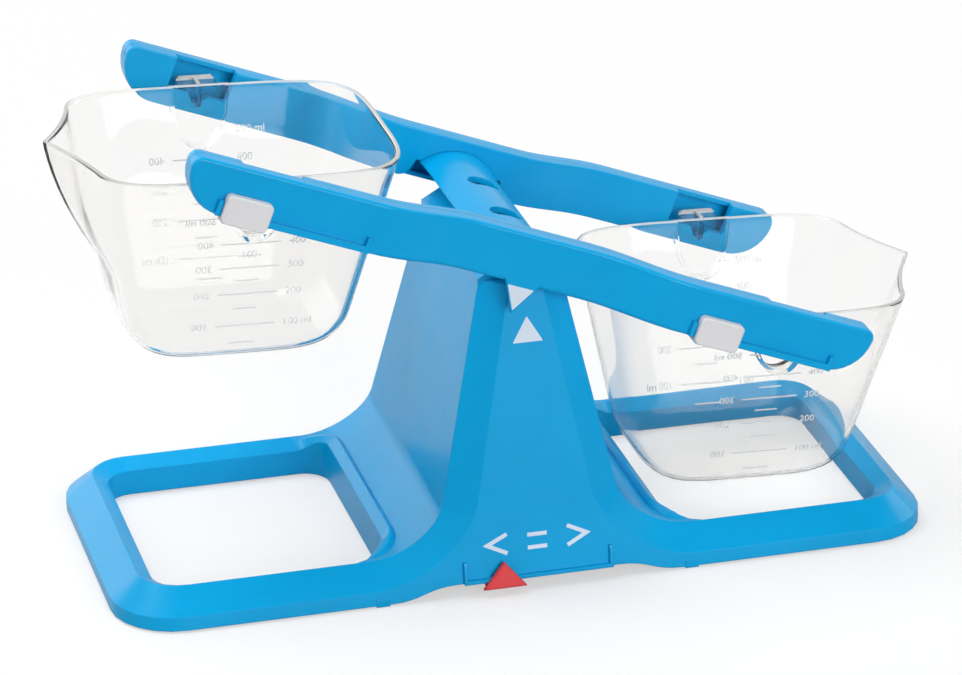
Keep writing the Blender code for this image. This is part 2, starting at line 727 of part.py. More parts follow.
def rails(shell, side):
    for end in (-1, 1):
        y0, y1 = sorted((side * (BEAM_END_Y - 0.0012), side * (BEAM_END_Y + RAIL_PROUD)))
        x0, x1 = sorted((end * (RAIL_FROM - 0.0005), end * (RAIL_TO + 0.0005)))
        join(shell, box("rail", (x0, y0, RAIL_LOW), (x1, y1, RAIL_TOP)))
        for s in (RAIL_FROM - RAIL_STOP, RAIL_TO):
            x0, x1 = sorted((end * s, end * (s + RAIL_STOP)))
            join(shell, box("stop", (x0, y0, RAIL_LOW - LAP), (x1, y1, RAIL_STOP_TOP)))


def tilt(obj, angle, pivot):
    turn = Matrix.Rotation(angle, 4, "Y")
    obj.data.transform(Matrix.Translation(pivot) @ turn)


def build_beams(mat):
    pivot = Vector((0, 0, PIVOT_HEIGHT))
    made = []
    for side, word in ((-1, "front"), (1, "rear")):
        outer = outer_half("outer", side)
        if side < 0:
            join(outer, pointer("pointer", side))
            rails(outer, side)
        tilt(outer, BEAM_TILT, pivot)
        made.append(finish(outer, "beam_" + word + "_outer", mat, pivot))
        inner = inner_half("inner", side)
        tilt(inner, BEAM_TILT, pivot)
        made.append(finish(inner, "beam_" + word + "_inner", mat, pivot))
    return made


def build_axle(mat):
    chamfer = AXLE_RADIUS / 9
    end = AXLE_HALF - 2 * chamfer
    profile = (
        (-AXLE_HALF, AXLE_RADIUS - chamfer), (-end, AXLE_RADIUS),
        (end, AXLE_RADIUS), (AXLE_HALF, AXLE_RADIUS - chamfer),
    )
    turns = [2 * math.pi * k / 24 for k in range(24)]
    rings = []
    for y, radius in profile:
        rings.append([(radius * math.cos(a), y, PIVOT_HEIGHT + radius * math.sin(a)) for a in turns])
    axle = loft("axle", rings)
    return finish(axle, "pivot_axle", mat, (0, 0, PIVOT_HEIGHT))


def saddle_ring(y):
    """A section of the saddle across the scale: outer arc, then inner arc back."""
    end = BEAM_WAIST_Y - BEAM_THICK
    centre = SADDLE_CENTRE_H + SADDLE_RISE * (abs(y) / end) ** 5
    ring = []
    for radius, order in ((SADDLE_RADIUS, 1), (SADDLE_RADIUS - SADDLE_WALL, -1)):
        start = math.asin((SADDLE_SPRING_H - centre) / radius)
        points = []
        for i in range(15):
            angle = start + (math.pi - 2 * start) * i / 14
            points.append((radius * math.cos(angle), y, centre + radius * math.sin(angle)))
        ring += points[::order]
    return ring


def build_saddle(mat):
    end = BEAM_WAIST_Y - BEAM_THICK - FIT_GAP
    lap = LAP / 10
    levels = [end * share for share in (0.6, 0.8, 0.92, 1)]
    levels = [-y for y in reversed(levels)] + [0] + levels
    saddle = loft("saddle", [saddle_ring(y) for y in levels])
    centre = SADDLE_CENTRE_H + SADDLE_RISE
    radius = SADDLE_RADIUS - SADDLE_WALL / 2
    start = math.degrees(math.asin((SADDLE_SPRING_H + LAP - centre) / radius))
    lunette = arc(0, centre, radius, start, 180 - start, 16)
    tongue = arc(0, 0, SADDLE_TONGUE, 190, 350, 10)
    tongue = [(-SADDLE_TONGUE, 0.0005)] + tongue + [(SADDLE_TONGUE, 0.0005)]
    for side in (-1, 1):
        y0, y1 = sorted((side * (end - lap), side * (end - SADDLE_END_WALL)))
        join(saddle, prism("lunette", lunette, y0, y1, "Y"))
        y0, y1 = sorted((side * (end - 2 * lap), side * (end - SADDLE_END_WALL + 2 * lap)))
        join(saddle, prism("tongue", tongue, y0, y1, "Y"))
        for s in (-SCREW_S, SCREW_S):
            y0, y1 = sorted((side * (end - SADDLE_END_WALL / 2), side * (end - SADDLE_BOSS_LENGTH)))
            join(saddle, cylinder_y("boss", s, SCREW_H, SADDLE_BOSS_RADIUS, y0, y1, 20))
            y0, y1 = sorted((side * (end + 0.001), side * (end - SADDLE_BOSS_LENGTH + 0.0013)))
            cut(saddle, cylinder_y("bore", s, SCREW_H, SCREW_RADIUS + BORE_GAP, y0, y1, 16))
    for y in (-SADDLE_HOLE_Y, SADDLE_HOLE_Y):
        half = SADDLE_HOLE_LENGTH / 2 - SADDLE_HOLE_WIDTH / 2
        radius = SADDLE_HOLE_WIDTH / 2
        outline = arc(half, y, radius, -90, 90, 8) + arc(-half, y, radius, 90, 270, 8)
        cut(saddle, prism("slot", outline, -0.001, 0.015, "Z"))
    cut(saddle, cylinder_y("bore", 0, 0, AXLE_RADIUS + LAP, -end - 0.001, end + 0.001, 24))
    pivot = Vector((0, 0, PIVOT_HEIGHT))
    tilt(saddle, BEAM_TILT, pivot)
    return finish(saddle, "saddle_bridge", mat, pivot)


def build_screws(mat):
    made = []
    pivot = Vector((0, 0, PIVOT_HEIGHT))
    face = BEAM_WAIST_Y - BEAM_THICK + BEAM_WALL + SEAM_GAP
    profile = (
        (face + SCREW_HEAD_HEIGHT, SCREW_HEAD_RADIUS * 0.7),
        (face + SCREW_HEAD_HEIGHT * 0.7, SCREW_HEAD_RADIUS),
        (face, SCREW_HEAD_RADIUS),
        (face - LAP, SCREW_RADIUS),
        (face - SCREW_LENGTH + 0.0006, SCREW_RADIUS),
        (face - SCREW_LENGTH, SCREW_RADIUS * 0.45),
    )
    turns = [2 * math.pi * k / 16 for k in range(16)]
    for side, word in ((-1, "front"), (1, "rear")):
        for s, hand in ((-SCREW_S, "left"), (SCREW_S, "right")):
            rings = []
            for y, radius in profile:
                ring = [(s + radius * math.cos(a), side * y, SCREW_H + radius * math.sin(a)) for a in turns]
                rings.append(ring)
            screw = loft("screw", rings)
            tilt(screw, BEAM_TILT, pivot)
            made.append(finish(screw, "saddle_screw_" + word + "_" + hand, mat, pivot))
    return made


def build_compensators(mat):
    made = []
    pivot = Vector((0, 0, PIVOT_HEIGHT))
    near = BEAM_END_Y + FIT_GAP
    far = BEAM_END_Y + BLOCK_PLATE
    edge = 0.0005
    for s0, word in ((-RAIL_TO + BLOCK_START, "left"), (RAIL_FROM + BLOCK_START, "right")):
        s1 = s0 + BLOCK_LENGTH
        plate = rounded_rectangle(s0, BLOCK_LOW, s1, BLOCK_HIGH, BLOCK_CORNER, 4)
        face = rounded_rectangle(
            s0 + edge, BLOCK_LOW + edge, s1 - edge, BLOCK_HIGH - edge, BLOCK_CORNER - edge, 4
        )
        rings = [
            [(s, -near, h) for s, h in plate],
            [(s, -far + edge, h) for s, h in plate],
            [(s, -far, h) for s, h in face],
        ]
        block = loft("block", rings)
        groove_low = (s0 - 0.001, -BEAM_END_Y - RAIL_PROUD - FIT_GAP, RAIL_LOW - FIT_GAP)
        groove_high = (s1 + 0.001, -BEAM_END_Y + 0.001, RAIL_TOP + FIT_GAP)
        cut(block, box("groove", groove_low, groove_high))
        inside = BEAM_END_Y - BEAM_THICK - FIT_GAP
        under = BEAM_LOW - FIT_GAP - BLOCK_WEB
        heel_low = (s0 + 0.0011, -near - 0.0028, under + LAP / 2)
        heel_high = (s1 - 0.0011, -near - LAP, RAIL_LOW - 0.0005)
        join(block, box("heel", heel_low, heel_high))
        web_low = (s0 + 0.001, -near - 0.002, under)
        web_high = (s1 - 0.001, -inside + BLOCK_LIP, BEAM_LOW - FIT_GAP)
        join(block, box("web", web_low, web_high))
        lip_low = (s0 + 0.002, -inside, under + LAP)
        lip_high = (s1 - 0.002, -inside + BLOCK_LIP - LAP, BLOCK_LIP_TOP)
        join(block, box("lip", lip_low, lip_high))
        tilt(block, BEAM_TILT, pivot)
        centre = (s0 + s1) / 2
        drop = centre * math.sin(BEAM_TILT)
        where = Vector((centre * math.cos(BEAM_TILT), -BEAM_END_Y, PIVOT_HEIGHT - drop))
        made.append(finish(block, "compensator_" + word, mat, where))
    return made


# Buckets
def bucket_angles():
    """Plan angles of the rim, closer together at the spout and the corners."""
    half = []
    for share in (0, 0.12, 0.26, 0.41, 0.59, 0.79, 1):
        y = share * SPOUT_HALF
        half.append(math.asin((y / BUCKET_SIDE) ** (BUCKET_FAR_POWER / 2)))
    last = half[-1]
    for i in range(1, 7):
        half.append(last + (math.pi / 2 - last) * i / 6)
    back = []
    for share in (0, 0.3, 0.6):
        back.append(math.pi - math.asin(share ** (BUCKET_NEAR_POWER / 2)))
    first = back[-1]
    for i in range(1, 7):
        half.append(math.pi / 2 + (first - math.pi / 2) * i / 7)
    half += reversed(back)
    return half + [2 * math.pi - a for a in reversed(half[1:-1])]


def bucket_ring(drop, wall, level):
    """One level of the bucket, drop metres under the rim, drawn in by the wall."""
    def reach(size, draft, radius):
        size = size - draft * drop - wall
        radius = max(radius - wall, 0.003)
        over = drop - (BUCKET_DEPTH - wall - radius)
        if over > 0:
            size -= radius - math.sqrt(max(radius * radius - over * over, 0))
        return size

    near = reach(BUCKET_NEAR, BUCKET_NEAR_DRAFT, BUCKET_END_RADIUS)
    far = reach(BUCKET_FAR, BUCKET_FAR_DRAFT, BUCKET_END_RADIUS)
    side = reach(BUCKET_SIDE, BUCKET_SIDE_DRAFT, BUCKET_SIDE_RADIUS)
    fade = max(0, 1 - (drop / SPOUT_DEPTH) ** 2)
    ring = []
    for angle in bucket_angles():
        c = math.cos(angle)
        s = math.sin(angle)
        size, power = (far, BUCKET_FAR_POWER) if c > 0 else (near, BUCKET_NEAR_POWER)
        x = math.copysign(abs(c) ** (2 / power), c) * size
        y = math.copysign(abs(s) ** (2 / power), s) * side
        spout = max(0, 1 - abs(y) / SPOUT_HALF) ** 1.5 if c > 0 else 0
        lift = SPOUT_RISE * spout if drop == 0 else 0
        ring.append((x + SPOUT_REACH * fade * spout, y, level + lift))
    return ring


def bucket_solid(name, wall):
    depth = BUCKET_DEPTH - wall
    end_radius = BUCKET_END_RADIUS - wall
    drops = [SPOUT_DEPTH * share for share in (0, 0.2, 0.4, 0.6, 0.8, 1)]
    drops += [depth - end_radius]
    for i in range(1, 6):
        drops.append(depth - end_radius * (1 - math.sin(math.radians(78) * i / 5)))
    drops.append(depth)
    rings = [bucket_ring(drop, wall, BUCKET_RIM - drop) for drop in drops]
    if wall:
        rings.insert(0, [(x, y, z + 0.006) for x, y, z in rings[0]])
    return loft(name, rings)


def pad_outline(shrink, high):
    """The hanger pad's tongue shape, hanging from the rim."""
    half = PAD_HALF - shrink
    depth = PAD_DROP - shrink
    points = [(half, high)]
    for i in range(1, 14):
        angle = math.pi * i / 14
        x = math.copysign(abs(math.cos(angle)) ** 0.91, math.cos(angle)) * half
        points.append((x, BUCKET_RIM - math.sin(angle) ** 0.91 * depth))
    return points + [(-half, high)]


def hanger(bucket, side):
    """The shelf outside the rim with its rail, rib and the knife fin under it."""
    wall = BUCKET_SIDE - 0.0008
    top = SHELF_LOW + SHELF_THICK
    y0, y1 = sorted((side * wall, side * SHELF_END_Y))
    join(bucket, box("shelf", (-SHELF_HALF, y0, SHELF_LOW), (SHELF_HALF, y1, top)))
    half = SHELF_HALF - LAP / 10
    rail = [(half, SHELF_LOW + 0.0002), (half, SHELF_RAIL_TOP - 0.0012), (half - 0.0012, SHELF_RAIL_TOP)]
    rail += [(-x, z) for x, z in reversed(rail)]
    y0, y1 = sorted((side * (SHELF_END_Y - 0.0012), side * (SHELF_END_Y - 0.00001)))
    join(bucket, prism("rail", rail, y0, y1, "Y"))
    y0, y1 = sorted((side * (wall + 0.0001), side * (SHELF_END_Y - 0.0006)))
    join(bucket, box("rib", (-0.0007, y0, SHELF_LOW + 0.0002), (0.0007, y1, SHELF_RAIL_TOP - 0.0005)))
    fin = [(FIN_HALF, SHELF_LOW + 0.0002)] + arc(0, 0, FIN_TIP, -5, -175, 6)
    fin += [(-FIN_HALF, SHELF_LOW + 0.0002)]
    y0, y1 = sorted((side * (wall + 0.0002), side * (SHELF_END_Y - 0.0003)))
    join(bucket, prism("fin", fin, y0, y1, "Y"))


def build_bucket(word, sign, mat):
    bucket = bucket_solid("bucket", 0)
    hollow = bucket_solid("hollow", BUCKET_WALL)
    for side in (-1, 1):
        y0, y1 = sorted((side * PAD_INSIDE, side * BUCKET_SIDE))
        join(bucket, prism("pad", pad_outline(0, BUCKET_RIM - 0.00002), y0, y1, "Y"))
        y0, y1 = sorted((side * (PAD_INSIDE - 0.002), side * (BUCKET_SIDE - BUCKET_WALL)))
        join(hollow, prism("pad", pad_outline(BUCKET_WALL, BUCKET_RIM + 0.003), y0, y1, "Y"))
    cut(bucket, hollow)
    for side in (-1, 1):
        hanger(bucket, side)
    if sign < 0:
        bucket.data.transform(Matrix.Rotation(math.pi, 4, "Z"))
    s = sign * KNIFE_S + SEAT_SHIFT
    across = s * math.cos(BEAM_TILT) + SEAT_H * math.sin(BEAM_TILT)
    up = SEAT_H * math.cos(BEAM_TILT) - s * math.sin(BEAM_TILT)
    where = Vector((across, 0, PIVOT_HEIGHT + up))
    tilt(bucket, BUCKET_TILT, where)
    return finish(bucket, "bucket_" + word, mat, where)


def main():
    clear_scene()
    build_base(material("blue_base", BLUE, 0.35))
    blue = material("blue_beam", BLUE, 0.35)
    build_beams(blue)
    build_saddle(material("blue_saddle", BLUE, 0.35))
    steel = material("steel", STEEL, 0.25, 1.0)
    build_axle(steel)
    build_screws(material("steel_screw", STEEL, 0.3, 1.0))
    build_compensators(material("white_block", WHITE, 0.45))
    build_marker(material("red_marker", RED, 0.4))
    clear = material("clear_bucket", CLEAR, 0.05, 0.0, 0.35)
    build_bucket("left", -1, clear)
    build_bucket("right", 1, clear)


main()
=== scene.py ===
"""Dresses the balance scale: moulded plastics, clear graduated buckets, printed signs,
a pale floor, soft lamps and the camera."""
import json
import math

import bpy
from mathutils import Matrix, Vector


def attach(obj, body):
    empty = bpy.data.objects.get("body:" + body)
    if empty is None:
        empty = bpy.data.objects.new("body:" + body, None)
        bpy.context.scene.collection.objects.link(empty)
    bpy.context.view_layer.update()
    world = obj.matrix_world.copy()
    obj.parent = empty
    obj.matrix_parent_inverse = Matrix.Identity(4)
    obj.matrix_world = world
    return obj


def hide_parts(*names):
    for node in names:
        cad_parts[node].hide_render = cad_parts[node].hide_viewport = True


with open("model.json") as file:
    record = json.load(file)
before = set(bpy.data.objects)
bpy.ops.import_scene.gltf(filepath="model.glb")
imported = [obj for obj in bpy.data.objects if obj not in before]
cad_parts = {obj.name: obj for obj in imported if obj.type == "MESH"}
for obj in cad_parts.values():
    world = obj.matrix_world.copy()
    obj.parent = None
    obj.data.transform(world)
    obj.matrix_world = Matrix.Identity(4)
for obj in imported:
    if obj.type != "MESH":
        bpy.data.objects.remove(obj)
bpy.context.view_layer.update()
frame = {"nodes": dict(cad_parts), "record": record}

bl_info = {
    "name": "Balance scale dressing",
    "version": (1, 0, 0),
    "blender": (4, 5, 0),
    "location": "3D View > Sidebar > Scale",
    "description": "Plastics, graduations, signs, floor, lamps and camera for a balance scale",
    "category": "Object",
}

# Places of the hinges, from the record, and the tilt that the photograph shows
HINGES = {joint["name"]: joint.get("pos_m") for joint in frame["record"]["behaviour"]["joints"]}
PIVOT = Vector(HINGES["beam_rock"])
BEAM_TILT = math.radians(21.0)
BUCKET_TILT = math.radians(2.2)

# Faces that carry print: the tower's, which leans back as it rises, and the beam's at its waist
FACE_FOOT_Y = -0.0717
FACE_ANGLE = math.atan(0.18)
BEAM_FACE_Y = -0.05718

# Bucket walls: local x points away from the tower, drop is measured down from the rim
RIM = 0.0086
NEAR, FAR, SIDE = 0.0630, 0.0592, 0.0530
NEAR_DRAFT, FAR_DRAFT, SIDE_DRAFT = 0.23, 0.21, 0.27
NEAR_POWER, FAR_POWER = 4.7, 5.3
DEPTH, END_RADIUS, SIDE_RADIUS, LEAST_RADIUS = 0.0842, 0.0150, 0.0080, 0.003
WALL = 0.0016
SPOUT_REACH, SPOUT_HALF, SPOUT_DEPTH, SPOUT_POWER = 0.0133, 0.034, 0.0517, 1.5
SPOUT_RISE, SPOUT_RISE_DROP = 0.0008, 0.004

# Steps of the bucket's mesh, round its plan and down its wall
SPOUT_STEPS, CORNER_STEPS, SIDE_STEPS, NEAR_STEPS = 12, 14, 16, 8
NEAR_SHARE, NEAR_GAP = 0.85, 0.04
RIM_DROPS = [0.0006, 0.003, 0.007]
SPOUT_LEVELS, BEND_LEVELS, ABOVE_BEND = 8, 12, 0.004
BEND_TURN = math.radians(84)
FLOOR_SHRINKS, CORE_SHRINKS = (1.0, 0.6, 0.0), (1.0, 0.5, 0.0)
CORE_SHARE, CORE_RISE = 0.6, 0.01

# Points over the rim, as a drop and a share of the wall, and the end of a long wall
RIM_ROUNDING = ((0.0001, 0.2), (0.0, 0.5), (0.0001, 0.8))
LONG_WALL_END = 0.98

# Pad under each hanger, and how far into the bucket its block and its hollow reach
PAD_HALF, PAD_DROP, PAD_ROUNDNESS, PAD_STEPS = 0.0122, 0.0258, 0.91, 28
PAD_SINK, HOLLOW_RISE = 0.00002, 0.003
PAD_INSIDE, HOLLOW_INSIDE = 0.030, 0.028

# Where a hanger is cut from the solid, how far it laps the wall, and which faces take the rim's painted
# highlight
HANGER_CUT, HANGER_LAP, CUT_SLACK = 0.0003, 0.0006, 0.00001
RIM_BAND, RIM_EDGE, SHELF_TOP = RIM - 0.0010, 0.0001, 0.0084

# Printed signs, and how far their plates are sunk into the plastic
SIGN_SUNK, TRIANGLE_ROUNDING = 0.0003, 0.0005
LESS_SIGN = ((-0.0206, 0.0194), (-0.0124, 0.0232), (-0.0124, 0.0154))
MORE_SIGN = ((0.0204, 0.0200), (0.0124, 0.0238), (0.0124, 0.0158))
EQUAL_UPPER = ((-0.0040, 0.0219), (0.0040, 0.0219))
EQUAL_LOWER = ((-0.0040, 0.0167), (0.0040, 0.0167))
TOWER_TRIANGLE = [(-0.0062, 0.0989), (0.0062, 0.0989), (0.0, 0.1092)]
BEAM_TRIANGLE = [(0.0057, -0.0104), (-0.0057, -0.0104), (0.0, -0.0204)]

# Graduations: drop of each level, ends of its line, and the numbers beside the lines
LEVELS = {
    500: 0.0182, 400: 0.0291, 350: 0.0348, 300: 0.0403, 250: 0.0463,
    200: 0.0526, 150: 0.0595, 100: 0.0674, 50: 0.0757,
}
WHOLE_LINE, HALF_LINE = (-0.0115, 0.0118), (-0.0050, 0.0043)
ODD_LINES = {500: (-0.0115, -0.0076), 50: (-0.0060, 0.0050)}
MIRRORED_FROM, MIRRORED_FIGURES = 0.0145, (500, 400, 300, 200, 100)
READABLE_FROM, READABLE_FIGURES = 0.0150, (400, 300, 200, 100)
MARK_SUNK, LINE_CUTS = 0.0001, 5
TEXT_TO_FIGURE = 1.4

# Stage: lamps as name, place, width and power, and the camera's angles in degrees
LAMPS = (
    ("lamp_above", (-0.6, 0.3, 1.7), 1.2, 21),
    ("lamp_behind", (-1.0, 1.8, 0.7), 1.6, 8),
    ("lamp_left", (-1.8, -0.3, 0.9), 1.2, 4),
    ("lamp_right", (1.6, 0.3, 0.8), 1.0, 6),
    ("lamp_front", (0.6, -2.3, 0.8), 1.5, 35),
)
LAMP_AIM = Vector((0, 0, 0.08))
CAMERA_PLACE, CAMERA_LENS = (-0.44033, -1.57638, 0.8056), 165.96
CAMERA_AZIMUTH, CAMERA_RISE, CAMERA_ROLL = -15.46931, 23.9731, -0.09833

# What the floor and the world give: as light, to the eye and in reflections
FLOOR_SIZE, FLOOR_Z = 12, -0.0002
FLOOR_BOUNCE, WORLD_LIGHT = 0.5, 0.3
SHADOW_SPAN, NEAR_GREY, NEAR_GLOW = (0.24, 0.75), 0.43, 0.52
FLOOR_BEHIND, FLOOR_MIRRORED = (-0.45, 0.25), (0.1, 0.9)
WORLD_BEHIND, WORLD_MIRRORED = (-0.35, 0.35), (0.08, 0.83)
BEHIND_TURN, AFTER_MIRROR = 0.35, 0.35

# How close points are merged, and up to what angle an edge is shaded smooth
CAD_MERGE, GRID_MERGE, CUT_MERGE = 0.000004, 0.000002, 0.000001
MOULDING_SMOOTH, BUCKET_SMOOTH = math.radians(34), math.radians(38)

BLUE_NODES = (
    "base_shell", "beam_front_inner", "beam_front_outer", "beam_rear_inner",
    "beam_rear_outer", "saddle_bridge",
)
WHITE_NODES = ("compensator_left", "compensator_right")
STEEL_NODES = (
    "pivot_axle", "saddle_screw_front_left", "saddle_screw_front_right",
    "saddle_screw_rear_left", "saddle_screw_rear_right",
)
SIDES = ((-1, "left"), (1, "right"))


class ScaleColours(bpy.types.PropertyGroup):
    """Colours of the plastics, the ink and the steel"""
    blue: bpy.props.FloatVectorProperty(
        name="Blue plastic", description="Base, beams and saddle", subtype="COLOR",
        size=4, min=0, max=1, default=(0.0, 0.35, 0.70, 1.0))
    red: bpy.props.FloatVectorProperty(
        name="Red plastic", description="Sliding marker", subtype="COLOR",
        size=4, min=0, max=1, default=(0.72, 0.035, 0.04, 1.0))
    white: bpy.props.FloatVectorProperty(
        name="White plastic", description="Trim weights on the front beam", subtype="COLOR",
        size=4, min=0, max=1, default=(0.70, 0.70, 0.715, 1.0))
    ink: bpy.props.FloatVectorProperty(
        name="Printed signs", description="Pale ink on the tower and beam", subtype="COLOR",
        size=4, min=0, max=1, default=(0.64, 0.74, 0.86, 1.0))
    clear: bpy.props.FloatVectorProperty(
        name="Clear plastic", description="Buckets", subtype="COLOR",
        size=4, min=0, max=1, default=(0.960, 0.955, 0.945, 1.0))
    steel: bpy.props.FloatVectorProperty(
        name="Steel", description="Axle and screws", subtype="COLOR",
        size=4, min=0, max=1, default=(0.56, 0.57, 0.59, 1.0))


class ScaleSizes(bpy.types.PropertyGroup):
    """Sizes of the printed signs and of the moulded graduations"""
    ink_thickness: bpy.props.FloatProperty(
        name="Ink thickness", description="How far a printed sign stands off the plastic",
        default=0.00007, min=0.00002, max=0.0003, unit="LENGTH", precision=5)
    stroke: bpy.props.FloatProperty(
        name="Sign stroke", description="Width of the strokes of the printed signs",
        default=0.0016, min=0.0005, max=0.004, unit="LENGTH", precision=4)
    line_width: bpy.props.FloatProperty(
        name="Graduation width", description="Width of the moulded graduation lines",
        default=0.00052, min=0.0002, max=0.001, unit="LENGTH", precision=5)
    line_height: bpy.props.FloatProperty(
        name="Graduation height", description="How far lines and numbers stand off the wall",
        default=0.00024, min=0.0001, max=0.0006, unit="LENGTH", precision=5)
    figure_height: bpy.props.FloatProperty(
        name="Figure height", description="Height of the moulded numbers",
        default=0.0031, min=0.002, max=0.008, unit="LENGTH", precision=4)


# Shader helpers
def node(tree, kind, **values):
    made = tree.nodes.new(kind)
    for key, value in values.items():
        setattr(made, key, value)
    return made


def math_node(tree, operation, first, second, clamp=False):
    """One step of arithmetic on two values, each a number or another node's output."""
    made = node(tree, "ShaderNodeMath", operation=operation, use_clamp=clamp)
    for index, value in enumerate((first, second)):
        if isinstance(value, (int, float)):
            made.inputs[index].default_value = value
        else:
            tree.links.new(value, made.inputs[index])
    return made.outputs[0]


def shared(tree, first, share, second):
    """Two values added, the first by its share and the second by the rest."""
    rest = math_node(tree, "MULTIPLY", second, 1 - share)
    return math_node(tree, "ADD", math_node(tree, "MULTIPLY", first, share), rest)


def noise(tree, vector, scale, detail, rough, stretch=None):
    if stretch:
        mapping = node(tree, "ShaderNodeMapping")
        mapping.inputs["Scale"].default_value = stretch
        tree.links.new(vector, mapping.inputs["Vector"])
        vector = mapping.outputs["Vector"]
    made = node(tree, "ShaderNodeTexNoise")
    made.inputs["Scale"].default_value = scale
    made.inputs["Detail"].default_value = detail
    made.inputs["Roughness"].default_value = rough
    tree.links.new(vector, made.inputs["Vector"])
    return made.outputs["Fac"]


def remap(tree, value, span, result):
    """A value taken from one span to another, and held within it."""
    made = node(tree, "ShaderNodeMapRange")
    for label, number in zip(("From Min", "From Max", "To Min", "To Max"), span + result):
        made.inputs[label].default_value = number
    tree.links.new(value, made.inputs["Value"])
    return made.outputs["Result"]


def tinted(tree, colour, value):
    """A colour made darker or lighter by a value about 1."""
    made = node(tree, "ShaderNodeHueSaturation")
    tree.links.new(colour, made.inputs["Color"])
    tree.links.new(value, made.inputs["Value"])
    return made.outputs["Color"]


def new_group(name, inputs):
    """A group that puts out colour, roughness and height, with its ends and its place on the object."""
    group = bpy.data.node_groups.new(name, "ShaderNodeTree")
    for label, default in inputs.items():
        kind = "NodeSocketColor" if isinstance(default, tuple) else "NodeSocketFloat"
        socket = group.interface.new_socket(name=label, in_out="INPUT", socket_type=kind)
        socket.default_value = default
    for label, kind in (("Colour", "Color"), ("Roughness", "Float"), ("Height", "Float")):
        group.interface.new_socket(name=label, in_out="OUTPUT", socket_type="NodeSocket" + kind)
    start = node(group, "NodeGroupInput").outputs
    end = node(group, "NodeGroupOutput").inputs
    place = node(group, "ShaderNodeTexCoord").outputs["Object"]
    return group, start, end, place


# Shared effects
def moulded_group():
    """Moulded plastic: flow marks in the colour, a fine satin grain, rub marks and dust."""
    group, start, end, place = new_group(
        "MouldedPlastic", {"Colour": (0.5, 0.5, 0.5, 1.0), "Shade": 0.06, "Gloss": 0.33, "Rub": 0.08})
    flow = noise(group, place, scale=14, detail=3, rough=0.55, stretch=(1.0, 0.6, 1.8))
    cloud = noise(group, place, scale=55, detail=3, rough=0.6)
    drift = remap(group, shared(group, flow, 0.7, cloud), (0.3, 0.7), (-1, 1))
    shade = math_node(group, "MULTIPLY", drift, start["Shade"])
    tint = tinted(group, start["Colour"], math_node(group, "ADD", shade, 1.0))
    lint = noise(group, place, scale=900, detail=2, rough=0.5, stretch=(1.0, 1.0, 0.35))
    dusty = node(group, "ShaderNodeMix", data_type="RGBA")
    group.links.new(remap(group, lint, (0.77, 0.84), (0.0, 0.10)), dusty.inputs["Factor"])
    group.links.new(tint, dusty.inputs["A"])
    dusty.inputs["B"].default_value = (0.8, 0.85, 0.9, 1.0)
    group.links.new(dusty.outputs["Result"], end["Colour"])
    scuff = noise(group, place, scale=120, detail=4, rough=0.7, stretch=(0.15, 1.0, 1.6))
    rub = math_node(group, "MULTIPLY", remap(group, scuff, (0.45, 0.72), (0, 1)), start["Rub"])
    patch = math_node(group, "MULTIPLY", remap(group, cloud, (0.3, 0.7), (-0.5, 0.5)), start["Rub"])
    rough = math_node(group, "ADD", math_node(group, "ADD", rub, patch), start["Gloss"])
    group.links.new(rough, end["Roughness"])
    grain = noise(group, place, scale=2600, detail=2, rough=0.5)
    ripple = noise(group, place, scale=210, detail=2, rough=0.5)
    group.links.new(shared(group, grain, 0.35, ripple), end["Height"])
    return group


def clear_group():
    """Clear plastic: faint flow lines, water spots and fine scratches."""
    group, start, end, place = new_group(
        "ClearMoulding", {"Colour": (1.0, 1.0, 1.0, 1.0), "Haze": 0.05})
    flow = noise(group, place, scale=20, detail=2, rough=0.5, stretch=(1.0, 1.0, 0.5))
    tint = tinted(group, start["Colour"], remap(group, flow, (0.3, 0.7), (0.985, 1.0)))
    group.links.new(tint, end["Colour"])
    scratch = noise(group, place, scale=160, detail=4, rough=0.7, stretch=(0.2, 1.0, 1.4))
    spots = noise(group, place, scale=420, detail=1, rough=0.4)
    scratched = remap(group, scratch, (0.6, 0.75), (0, 0.5))
    spotted = remap(group, spots, (0.72, 0.78), (0, 0.6))
    marks = math_node(group, "ADD", scratched, spotted)
    haze = math_node(group, "MULTIPLY", marks, start["Haze"])
    group.links.new(math_node(group, "ADD", haze, 0.012, True), end["Roughness"])
    waves = noise(group, place, scale=60, detail=1, rough=0.4)
    group.links.new(waves, end["Height"])
    return group


def steel_group():
    """Drawn and plated steel: fine lines along the wire and small dull patches."""
    group, start, end, place = new_group(
        "DrawnSteel", {"Colour": (0.5, 0.5, 0.5, 1.0), "Gloss": 0.28})
    lines = noise(group, place, scale=1400, detail=2, rough=0.5, stretch=(1.0, 0.04, 1.0))
    dull = noise(group, place, scale=260, detail=3, rough=0.6)
    tint = tinted(group, start["Colour"], remap(group, dull, (0.3, 0.7), (0.86, 1.06)))
    group.links.new(tint, end["Colour"])
    rough = math_node(group, "ADD", remap(group, dull, (0.35, 0.7), (-0.06, 0.12)), start["Gloss"])
    group.links.new(rough, end["Roughness"])
    group.links.new(lines, end["Height"])
    return group


def group_named(name, build):
    return bpy.data.node_groups.get(name) or build()


